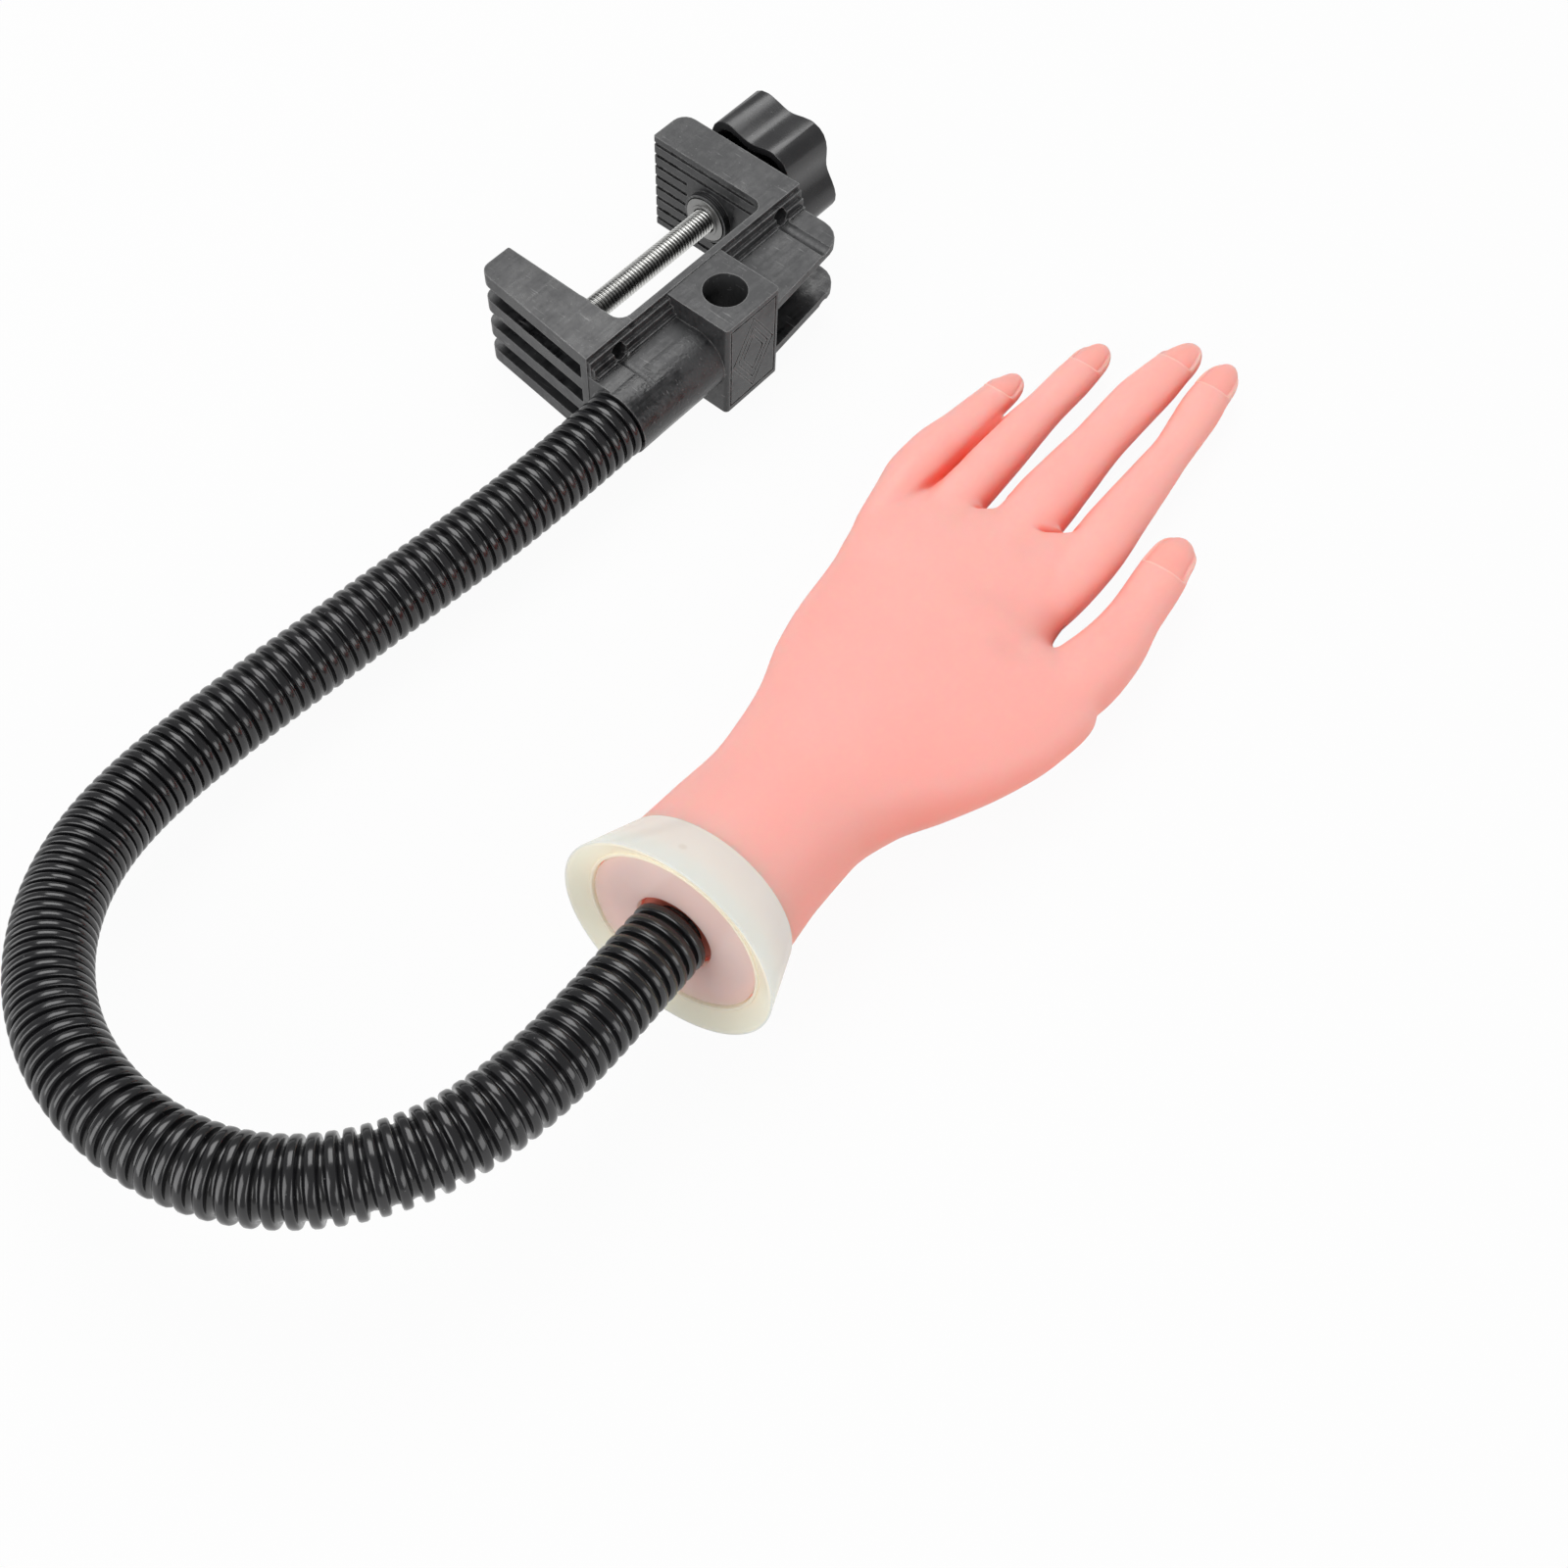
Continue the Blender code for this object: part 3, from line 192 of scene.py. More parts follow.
# Folds on top of the hand: depth and half width, then places that run out towards the gap between the fingers
FOLDS = (
    (0.0016, 0.0009, ((0.572, 0.452), (0.581, 0.445), (0.635, 0.423), (0.688, 0.411), (0.752, 0.399))),
    (0.0017, 0.0009, ((0.601, 0.234), (0.6095, 0.212), (0.6257, 0.173), (0.649, 0.162))),
    (0.0017, 0.0009, ((0.613, -0.018), (0.6205, -0.042), (0.6407, -0.104), (0.655, -0.134))),
)
HOLLOWS = (
    (0.0009, 0.004, ((0.52, 0.44), (0.6, 0.44), (0.66, 0.43))),
    (0.0009, 0.004, ((0.54, 0.21), (0.62, 0.2), (0.66, 0.18))),
    (0.0009, 0.004, ((0.55, -0.07), (0.63, -0.08), (0.67, -0.12))),
    (0.002, 0.0055, ((0.42, -0.25), (0.5, -0.31), (0.53, -0.34))),
)
# How much wider than a fold its painted shade reaches
FOLD_SHADE_SPREAD = 1.1
FOLD_START_SHARE = 0.35

# Nail beds: the cuticle's place in the hand, and how its sides reach towards the tip
NAIL_SHARES = {"little": 0.7765, "ring": 0.8745, "middle": 0.943, "index": 0.9335, "thumb": 0.6575}
NAIL_SIDE_SHARE = 0.87
NAIL_BOW = 0.0022
NAIL_CORNER = 0.0016
NAIL_DEPTH = 0.0006
NAIL_EDGE = 0.0004
NAIL_LIP = 0.0002
NAIL_LIP_WIDTH = 0.0006
NAIL_FADE_SHARES = (0.5, 0.95)
NAIL_ROOM = 0.0025
NAIL_CUTS = 2
NAIL_SMOOTHS = 3

# Colours and roughness
KNOB_BLACK, KNOB_ROUGHNESS = (0.014, 0.014, 0.015), 0.27
HOSE_BLACK, HOSE_ROUGHNESS = (0.008, 0.008, 0.009), 0.18
INSERT_ZINC, INSERT_ROUGHNESS = (0.3, 0.3, 0.295), 0.4
SCREW_ZINC, SCREW_ROUGHNESS = (0.72, 0.72, 0.7), 0.24
CORE_METAL, CORE_ROUGHNESS = (0.5, 0.5, 0.5), 0.4
CUP_MILK, CUP_ROUGHNESS = (0.72, 0.81, 0.865), 0.15
CUP_WARM = (1.0, 0.96, 0.82)
# The cup's inside is painted this warmer cream, as painted light coming through its wall
CUP_INSIDE_PAINTED_LIGHT = (0.93, 0.92, 0.8)
DISC_MILK, DISC_ROUGHNESS = (0.97, 0.93, 0.91), 0.1
DISC_WARM = (1.0, 0.96, 0.9)
# Vinyl pinks: own colour, a lighter random tone, painted shade for hollows and turned-away sides, painted
# fold shade that also tints the nail beds
VINYL_PINKS = (0.98, 0.43, 0.385), (0.99, 0.46, 0.41), (1.0, 0.3, 0.235), (1.0, 0.17, 0.11)
# The socket tube's darker pinks are a painted shade, for the dark band seen through the disc
SOCKET_SHADE_PINKS = (0.66, 0.2, 0.14), (0.7, 0.23, 0.17), (0.6, 0.12, 0.08), (0.5, 0.1, 0.07)
# The nail lips' lighter pink is a painted highlight along their raised edge
LIP_HIGHLIGHT_PINK = (1.0, 0.56, 0.5)

# Light: where each lamp is, where it points, its size and its watts
LAMPS = {
    "overhead": ((0.42, 0.45, 1.15), (0, -0.08, 0), (1.0, 1.0), 12.5),
    "left_strip": ((-1.2, 0.1, 0.5), (-0.05, -0.1, 0), (0.8, 1.5), 12),
    "front_fill": ((-0.1, -1.25, 0.4), (0, -0.1, 0), (1.2, 0.6), 6),
}
SKY_LIGHT = 0.34
TABLE_GREY = (0.6, 0.6, 0.6, 1)
TABLE_WHITE_SHARE = 0.95


# Meshes

def mesh_piece(name, points, faces):
    mesh = bpy.data.meshes.new(name)
    mesh.from_pydata([tuple(p) for p in points], [], faces)
    mesh.update()
    piece = bpy.data.objects.new(name, mesh)
    bpy.context.scene.collection.objects.link(piece)
    mesh.shade_smooth()
    return piece


def ring_faces(rings, sides, closed=False):
    """Quads between rings of equally many points."""
    faces = []
    for row in range(rings if closed else rings - 1):
        near, far = row * sides, (row + 1) % rings * sides
        for k in range(sides):
            ahead = (k + 1) % sides
            faces.append((near + k, near + ahead, far + ahead, far + k))
    return faces


def table_at(table, place, column):
    """A table's column at a place, joined by smooth curves that don't overshoot."""
    rows = np.array([[row[0], row[column]] for row in table], float)
    x, y = rows[:, 0], rows[:, 1]
    steps = np.diff(x)
    slopes = np.diff(y) / steps
    tangents = np.concatenate([[slopes[0]], np.zeros(len(x) - 2), [slopes[-1]]])
    for k in range(1, len(x) - 1):
        if slopes[k - 1] * slopes[k] > 0:
            tangents[k] = 2 * slopes[k - 1] * slopes[k] / (slopes[k - 1] + slopes[k])
    place = float(min(max(place, x[0]), x[-1]))
    k = int(min(max(np.searchsorted(x, place) - 1, 0), len(x) - 2))
    t = (place - x[k]) / steps[k]
    return float(y[k] * (1 + 2 * t) * (1 - t) ** 2 + tangents[k] * steps[k] * t * (1 - t) ** 2
                 + y[k + 1] * t * t * (3 - 2 * t) + tangents[k + 1] * steps[k] * t * t * (t - 1))


def lathe(name, profile, matrix):
    """A closed turned piece about X. The profile holds (place on the axis, radius) round its section."""
    points = []
    for along, radius in profile:
        for k in range(LATHE_STEPS):
            angle = 2 * math.pi * k / LATHE_STEPS
            points.append(matrix @ Vector((along, radius * math.cos(angle), radius * math.sin(angle))))
    piece = mesh_piece(name, points, ring_faces(len(profile), LATHE_STEPS, closed=True))
    piece.data.set_sharp_from_angle(angle=math.radians(LATHE_SHARP_DEG))
    return piece


def softened(corners, radius):
    """A closed section with its corners rounded."""
    points = []
    count = len(corners)
    for k in range(count):
        here = Vector(corners[k])
        back, ahead = Vector(corners[k - 1]) - here, Vector(corners[(k + 1) % count]) - here
        reach = min(radius, back.length / CORNER_ROOM, ahead.length / CORNER_ROOM)
        start, end = here + back.normalized() * reach, here + ahead.normalized() * reach
        for step in range(CORNER_STEPS + 1):
            t = step / CORNER_STEPS
            points.append(tuple(start * (1 - t) ** 2 + here * (2 * t * (1 - t)) + end * t * t))
    return points


def modify(piece, kind, **settings):
    change = piece.modifiers.new(kind.lower(), kind)
    for key, value in settings.items():
        setattr(change, key, value)
    return change


def applied(piece):
    """The piece with its modifiers made into its mesh."""
    graph = bpy.context.evaluated_depsgraph_get()
    graph.update()
    mesh = bpy.data.meshes.new_from_object(piece.evaluated_get(graph))
    old = piece.data
    piece.modifiers.clear()
    piece.data = mesh
    bpy.data.meshes.remove(old)
    return piece


# Materials

class Look:
    """A node material with short calls for its parts."""

    def __init__(self, name, colour, roughness, **sockets):
        self.material = bpy.data.materials.new(name)
        self.material.use_nodes = True
        self.nodes = self.material.node_tree.nodes
        self.links = self.material.node_tree.links
        self.shader = self.nodes["Principled BSDF"]
        self.shader.inputs["Base Color"].default_value = (*colour, 1)
        self.shader.inputs["Roughness"].default_value = roughness
        for key, value in sockets.items():
            self.shader.inputs[key.replace("_", " ")].default_value = value
        self.place = self.node("ShaderNodeTexCoord").outputs["Object"]

    def feed(self, socket, value):
        """Gives a socket a number, a colour, a vector or another node's output."""
        if isinstance(value, bpy.types.NodeSocket):
            self.links.new(value, socket)
        elif value is not None:
            socket.default_value = value

    def node(self, kind, **settings):
        made = self.nodes.new(kind)
        for key, value in settings.items():
            if key in made.inputs:
                made.inputs[key].default_value = value
            else:
                setattr(made, key, value)
        return made

    def noise(self, scale, detail=4.0, roughness=0.5, place=None):
        made = self.node("ShaderNodeTexNoise", Scale=scale, Detail=detail, Roughness=roughness)
        self.links.new(place or self.place, made.inputs["Vector"])
        return made.outputs["Fac"]

    def cells(self, scale, feature="F1", place=None):
        made = self.node("ShaderNodeTexVoronoi", Scale=scale, feature=feature)
        self.links.new(place or self.place, made.inputs["Vector"])
        return made.outputs["Distance"]

    def attribute(self, name):
        """A value that the mesh carries at its points, 0 where it has none."""
        return self.node("ShaderNodeAttribute", attribute_name=name).outputs["Fac"]

    def stretched(self, place, scale):
        made = self.node("ShaderNodeMapping")
        made.inputs["Scale"].default_value = scale
        self.links.new(place, made.inputs["Vector"])
        return made.outputs["Vector"]

    def vector(self, operation, first, second=None, output="Vector"):
        made = self.node("ShaderNodeVectorMath", operation=operation)
        for socket, value in zip(made.inputs, (first, second)):
            self.feed(socket, value)
        return made.outputs[output]

    def mixed(self, share, first, second):
        """The first colour, turning to the second where the share is 1."""
        made = self.node("ShaderNodeMix", data_type="RGBA")
        self.links.new(share, made.inputs["Factor"])
        for socket, value in zip((made.inputs[6], made.inputs[7]), (first, second)):
            self.feed(socket, (*value, 1) if isinstance(value, tuple) else value)
        return made.outputs[2]

    def span(self, value, low, high, to_low, to_high):
        made = self.node("ShaderNodeMapRange")
        self.links.new(value, made.inputs["Value"])
        for key, number in zip(("From Min", "From Max", "To Min", "To Max"), (low, high, to_low, to_high)):
            made.inputs[key].default_value = number
        return made.outputs["Result"]

    def math(self, operation, first, second=None, third=None):
        made = self.node("ShaderNodeMath", operation=operation)
        for socket, value in zip(made.inputs, (first, second, third)):
            self.feed(socket, value)
        return made.outputs["Value"]

    def colours(self, value, *stops):
        """A ramp from (place, colour) stops."""
        made = self.node("ShaderNodeValToRGB")
        self.links.new(value, made.inputs["Fac"])
        ramp = made.color_ramp.elements
        while len(ramp) < len(stops):
            ramp.new(0.5)
        for element, (place, colour) in zip(ramp, stops):
            element.position = place
            element.color = (*colour, 1)
        return made.outputs["Color"]

    def set(self, socket, value):
        self.links.new(value, self.shader.inputs[socket])

    def bump(self, *layers):
        """Bumps from (height, strength, distance in metres), one on top of another."""
        normal = None
        for height, strength, distance in layers:
            made = self.node("ShaderNodeBump", Strength=strength, Distance=distance)
            self.links.new(height, made.inputs["Height"])
            if normal:
                self.links.new(normal, made.inputs["Normal"])
            normal = made.outputs["Normal"]
        self.links.new(normal, self.shader.inputs["Normal"])


def clamp_look():
    """Black moulding with flow marks, scuffs, dust, painted edge highlights, a grained barrel and a turned
    boss.
    """
    look = Look("clamp_moulding", (0.03, 0.031, 0.032), 0.42, Specular_IOR_Level=0.55)
    turned_back = look.node("ShaderNodeMapping", vector_type="POINT")
    turned_back.inputs["Rotation"].default_value = (0, LEAN, 0)
    look.links.new(look.place, turned_back.inputs["Vector"])
    seat = turned_back.outputs["Vector"]
    part = look.node("ShaderNodeSeparateXYZ")
    look.links.new(seat, part.inputs["Vector"])
    along, aside, above = (part.outputs[axis] for axis in "XYZ")
    flow = look.noise(30, 6, 0.65, place=seat)
    streaks = look.noise(1, 3, 0.6, look.stretched(seat, (55, 900, 420)))
    scuffs = look.span(look.noise(1, 2, 0.5, look.stretched(seat, (1500, 110, 700))), 0.68, 0.74, 0, 1)
    dust = look.span(look.cells(420, place=seat), 0.1, 0.05, 0, 1)
    fine = look.noise(2600, 3, 0.6)
    mottle = look.noise(330, 5, 0.7, place=seat)
    shade = look.math("MULTIPLY_ADD", streaks, 0.35, look.math("MULTIPLY_ADD", mottle, 0.5, flow))
    # Painted highlight: rounded edges are painted pale where they would catch the light
    rounded = look.node("ShaderNodeBevel", samples=4, Radius=0.0007)
    straight = look.node("ShaderNodeNewGeometry")
    bend = look.vector("DOT_PRODUCT", rounded.outputs["Normal"], straight.outputs["Normal"], "Value")
    painted_edge_highlight = look.math("MULTIPLY", look.span(bend, 0.98, 0.88, 0, 1),
                     look.span(mottle, 0.4, 0.6, 0.2, 0.8))
    # Pale mix of real scuffs and dust, then the painted edge highlight
    scuffs_dust_and_edge_highlight = look.math("MAXIMUM", look.math("MULTIPLY", scuffs, 0.4), look.math("MULTIPLY", dust, 0.4))
    scuffs_dust_and_edge_highlight = look.math("MAXIMUM", scuffs_dust_and_edge_highlight, painted_edge_highlight)
    plain = look.colours(shade, (0.8, (0.007, 0.0072, 0.008)), (1.0, (0.03, 0.0305, 0.032)))
    look.set("Base Color", look.mixed(scuffs_dust_and_edge_highlight, plain, (0.25, 0.25, 0.25)))
    look.set("Roughness", look.span(shade, 0.78, 1.05, 0.26, 0.56))
    on_barrel = look.math("MULTIPLY", look.span(aside, BARREL_TOP_Y, BARREL_TOP_Y - 0.0025, 0, 1),
                          look.span(along, BARREL_END + 0.0005, BARREL_END - 0.0005, 0, 1))
    grain = look.math("MULTIPLY", look.cells(1100, "SMOOTH_F1"), on_barrel)
    round_screw = look.math("POWER", look.math("ADD", look.math("MULTIPLY", aside, aside),
                                               look.math("MULTIPLY", above, above)), 0.5)
    on_boss = look.math("MULTIPLY", look.span(round_screw, BOSS_RADIUS + 0.0002, BOSS_RADIUS + 0.0001, 0, 1),
                        look.span(along, BOSS_START, BOSS_START + 0.0001, 0, 1))
    turned = look.math("MULTIPLY", look.math("SINE", look.math("MULTIPLY", along, 7800)), on_boss)
    look.bump((fine, 0.12, 0.0001), (streaks, 0.12, 0.0002), (grain, 0.4, 0.0002), (turned, 0.7, 0.00012))
    return look.material


def black_gloss_look(name, colour, roughness, scratch):
    """Black plastic with a little dust and very fine scratches."""
    look = Look(name, colour, roughness, Specular_IOR_Level=0.6)
    cloud = look.noise(60, 4, 0.6)
    fine = look.noise(1800, 3, 0.6)
    dust = look.span(look.cells(300), 0.07, 0.03, 0, 0.5)
    plain = look.colours(cloud, (0.3, colour), (0.7, tuple(c * 1.4 for c in colour)))
    look.set("Base Color", look.mixed(dust, plain, (0.2, 0.2, 0.2)))
    look.set("Roughness", look.span(cloud, 0.3, 0.7, roughness * 0.85, roughness * 1.25))
    look.bump((fine, scratch, 0.00008), (cloud, 0.04, 0.0006))
    return look.material


def steel_look(name, colour, roughness, valley=None):
    """Bright metal. The valley is a radius round the screw's axis inside which it is painted dark, as painted
    shade.
    """
    look = Look(name, colour, roughness, Metallic=1.0)
    cloud = look.noise(220, 4, 0.65)
    brushed = look.noise(1, 3, 0.6, look.stretched(look.place, (9000, 300, 300)))
    tint = look.colours(cloud, (0.25, tuple(c * 0.82 for c in colour)), (0.75, colour))
    if valley:
        # Painted shade: the thread's valleys are painted dark
        reach = look.vector("LENGTH", look.vector("CROSS_PRODUCT", look.place, SCREW_AXIS), None, "Value")
        painted_valley_shade = look.span(reach, valley + 0.0002, valley - 0.0002, 0, 0.8)
        tint = look.mixed(painted_valley_shade, tint, (0.13, 0.13, 0.13))
    look.set("Base Color", tint)
    look.set("Roughness", look.span(cloud, 0.25, 0.75, roughness * 0.7, roughness * 1.5))
    look.bump((brushed, 0.1, 0.00005))
    return look.material


def milky_look(name, colour, through, solid, glowing, roughness, gate_mark=None, mouth=None):
    """Milky plastic: cool where it is lit, warm where light comes through it, with a soft light shadow.

    The gate mark is the place of a small dark dot. The mouth is the cup's centre and axis, and inside it the
    plastic is painted a warmer cream: painted light, for the warm light that comes through the wall.
    """
    look = Look(name, colour, roughness, Subsurface_Weight=0.5, Subsurface_Scale=0.004, IOR=1.45)
    look.shader.inputs["Subsurface Radius"].default_value = (1.0, 0.85, 0.7)
    cloud = look.noise(1, 3, 0.5, look.stretched(look.place, (12, 70, 70)))
    tint = look.colours(cloud, (0.35, tuple(c * 0.96 for c in colour)), (0.65, colour))
    if gate_mark:
        away = look.vector("DISTANCE", look.place, gate_mark, "Value")
        tint = look.mixed(look.span(away, 0.0014, 0.0006, 0, 0.25), tint, (0.3, 0.3, 0.3))
    # Painted light: inside the mouth the plastic is painted warmer
    if mouth:
        centre, ahead = mouth
        place = look.vector("SUBTRACT", look.place, centre)
        along = look.vector("DOT_PRODUCT", place, ahead, "Value")
        reach = look.vector("LENGTH", look.vector("CROSS_PRODUCT", place, ahead), None, "Value")
        slope = (CUP_RIM_RADIUS - CUP_END_RADIUS) / CUP_LENGTH
        inward = look.math("SUBTRACT", CUP_RIM_RADIUS - slope * DISC_RECESS,
                           look.math("MULTIPLY_ADD", along, slope, reach))
        tint = look.mixed(look.span(inward, 0.0003, 0.0008, 0, 1), tint, CUP_INSIDE_PAINTED_LIGHT)
    look.set("Base Color", tint)
    look.set("Roughness", look.span(cloud, 0.3, 0.7, roughness * 0.85, roughness * 1.2))
    look.bump((look.noise(500, 2, 0.5), 0.04, 0.0001))
    clear = look.node("ShaderNodeBsdfTransparent")
    clear.inputs["Color"].default_value = (*through, 1)
    glow = look.node("ShaderNodeBsdfTranslucent")
    glow.inputs["Color"].default_value = (*through, 1)
    body = look.node("ShaderNodeMixShader", Fac=glowing)
    shadow = look.node("ShaderNodeLightPath").outputs["Is Shadow Ray"]
    whole = look.node("ShaderNodeMixShader")
    look.links.new(look.span(shadow, 0, 1, solid, solid * 0.45), whole.inputs["Fac"])
    look.links.new(look.shader.outputs["BSDF"], body.inputs[1])
    look.links.new(glow.outputs["BSDF"], body.inputs[2])
    look.links.new(clear.outputs["BSDF"], whole.inputs[1])
    look.links.new(body.outputs["Shader"], whole.inputs[2])
    look.links.new(whole.outputs["Shader"], look.nodes["Material Output"].inputs["Surface"])
    return look.material


def vinyl_look(name, colour, light, shade, fold_shade_and_bed_tint, soft=1.0):
    """Soft vinyl: light soaks into it and comes out red; hollows, turned-away sides and folds get painted
    shade.
    """
    look = Look(name, colour, 0.5, Subsurface_Weight=soft, Subsurface_Scale=0.01, Specular_IOR_Level=0.3)
    look.shader.inputs["Subsurface Radius"].default_value = (1.0, 0.2, 0.13)
    cloud = look.noise(14, 4, 0.5)
    hollow = look.node("ShaderNodeAmbientOcclusion", samples=8, only_local=True, Distance=0.014)
    tint = look.colours(cloud, (0.25, colour), (0.75, light))
    # Painted shade: sides facing away from up, and hollows where less light reaches, are mixed towards the
    # shade colour
    upright = look.node("ShaderNodeSeparateXYZ")
    look.links.new(look.node("ShaderNodeTexCoord").outputs["Normal"], upright.inputs["Vector"])
    turned = look.span(upright.outputs["Z"], 0.75, 0.0, 0, 0.85)
    painted_hollow_shade = look.span(hollow.outputs["AO"], 0.85, 0.25, 0, 1)
    tint = look.mixed(look.math("MAXIMUM", painted_hollow_shade, turned), tint, shade)
    # Painted shade along the folds, in the fold shade colour
    tint = look.mixed(look.math("MULTIPLY", look.attribute("fold"), 0.8), tint, fold_shade_and_bed_tint)
    tint = look.mixed(look.math("MULTIPLY", look.attribute("nail_bed"), 0.14), tint, fold_shade_and_bed_tint)
    # Painted highlight along the nail lips
    tint = look.mixed(look.math("MULTIPLY", look.attribute("nail_lip"), 0.6), tint, LIP_HIGHLIGHT_PINK)
    look.set("Base Color", tint)
    look.set("Roughness", look.span(cloud, 0.3, 0.7, 0.46, 0.56))
    look.bump((look.noise(1500, 3, 0.6), 0.08, 0.00012), (look.noise(120, 3, 0.5), 0.05, 0.0008))
    return look.material


# The clamp

def joint(name):
    return next(j for j in frame["joints"] if j["name"] == name)


SCREW_AXIS = Vector(joint("knob_turn")["axis"])
LEAN = math.atan2(SCREW_AXIS.z, SCREW_AXIS.x)
SEAT = Euler((0, -LEAN, 0)).to_matrix().to_4x4()


def dress(node, look, bevel=0.0):
    """Gives a CAD node its material, and a small rounding on its edges."""
    piece = frame["nodes"][node]
    piece.data.materials.clear()
    piece.data.materials.append(look)
    if bevel:
        modify(piece, "WELD", merge_threshold=BEVEL_WELD)
        modify(piece, "BEVEL", width=bevel, segments=2, limit_method="ANGLE",
               angle_limit=math.radians(BEVEL_ANGLE_DEG), use_clamp_overlap=True, harden_normals=False,
               miter_outer="MITER_ARC")
        modify(piece, "WEIGHTED_NORMAL", keep_sharp=False, weight=80)
    return piece


def make_thread(look):
    """The screw with its helical thread."""
    rows = len(THREAD_DEPTH_SHARES)
    step = THREAD_PITCH / rows
    count = int((SCREW_TO - SCREW_FROM + 2 * THREAD_PITCH) / step)
    points = []
    for row in range(count):
        radius = SCREW_RADIUS - THREAD_DEPTH * THREAD_DEPTH_SHARES[row % rows]
        for k in range(THREAD_SIDES):
            angle = 2 * math.pi * k / THREAD_SIDES
            along = SCREW_FROM - THREAD_PITCH + row * step + THREAD_PITCH * k / THREAD_SIDES
            reach = radius if SCREW_FROM < along < SCREW_TO else SCREW_RADIUS - THREAD_DEPTH
            points.append(SEAT @ Vector((min(max(along, SCREW_FROM), SCREW_TO), reach * math.cos(angle),
                                         reach * math.sin(angle))))
    faces = []
    for row in range(count - rows - 1):
        for k in range(THREAD_SIDES):
            near, far = row * THREAD_SIDES + k, (row + 1) * THREAD_SIDES + k
            if k + 1 < THREAD_SIDES:
                faces.append((near, near + 1, far + 1, far))
            else:
                wrap = (row + rows) * THREAD_SIDES
                faces.append((near, wrap, wrap + THREAD_SIDES, far))
    screw = mesh_piece("threaded_bar", points, faces)
    screw.data.materials.append(look)
    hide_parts("clamp_screw")
    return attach(screw, "screw")


def make_clamp():
    moulding = clamp_look()
    dress("clamp_frame", moulding, CLAMP_BEVEL)
    dress("pressure_pad", moulding, PAD_BEVEL)
    dress("knob", black_gloss_look("knob_gloss", KNOB_BLACK, KNOB_ROUGHNESS, 0.04), KNOB_BEVEL)
    dress("base_plug", moulding)
    dress("thread_insert", steel_look("insert_zinc", INSERT_ZINC, INSERT_ROUGHNESS), INSERT_BEVEL)
    make_thread(steel_look("screw_zinc", SCREW_ZINC, SCREW_ROUGHNESS, SCREW_RADIUS - THREAD_DEPTH / 2))


# The hose

def smooth_table(values, shares):
    """Values at equal steps, joined smoothly and level at both ends, read at shares from 0 to 1."""
    table = np.array(values, float)
    slope = np.zeros(len(table))
    slope[1:-1] = (table[2:] - table[:-2]) / 2
    place = np.clip(shares, 0, 1) * (len(table) - 1)
    k = np.minimum(place.astype(int), len(table) - 2)
    t = place - k
    return (table[k] * (2 * t**3 - 3 * t**2 + 1) + slope[k] * (t**3 - 2 * t**2 + t)
            + table[k + 1] * (3 * t**2 - 2 * t**3) + slope[k + 1] * (t**3 - t**2))


class Route:
    """The hose's centre line, from the barrel's mouth to the wrist disc."""

    def __init__(self, start):
        self.along = np.linspace(0, HOSE_LENGTH, ROUTE_STEPS + 1)
        shares = (self.along - HOSE_STRAIGHT) / (HOSE_LENGTH - 2 * HOSE_STRAIGHT)
        yaw = np.radians(smooth_table(HOSE_HEADING_DEG, shares))
        climb = np.radians(smooth_table((-math.degrees(LEAN), *HOSE_CLIMB_DEG), shares))
        level = np.cos(climb)
        self.ahead = np.stack([np.cos(yaw) * level, np.sin(yaw) * level, np.sin(climb)], axis=1)
        steps = (self.ahead[1:] + self.ahead[:-1]) / 2 * (HOSE_LENGTH / ROUTE_STEPS)
        self.points = np.array(start) + np.vstack([np.zeros(3), np.cumsum(steps, axis=0)])

    def at(self, distance):
        return Vector([np.interp(distance, self.along, axis) for axis in self.points.T])

    def direction(self, distance):
        return Vector([np.interp(distance, self.along, axis) for axis in self.ahead.T]).normalized()

    def sides(self, distance):
        ahead = self.direction(distance)
        aside = Vector((-ahead.y, ahead.x, 0)).normalized()
        return aside, ahead.cross(aside)


def rib_edges():
    count = sum(SECTION_RIBS)
    spacing = smooth_table(RIB_SPACING_SHARES, (np.arange(count) + 0.5) / count)
    return np.concatenate([[0], np.cumsum(spacing)]) / spacing.sum() * HOSE_LENGTH


def hose_ring(route, distance, shift, radius):
    """A ring round the route at a distance, moved straight ahead by a shift."""
    centre = route.at(distance) + route.direction(distance) * shift
    aside, up = route.sides(distance)
    turns = (2 * math.pi * k / HOSE_SIDES for k in range(HOSE_SIDES))
    return [centre + (aside * math.cos(a) + up * math.sin(a)) * radius for a in turns]


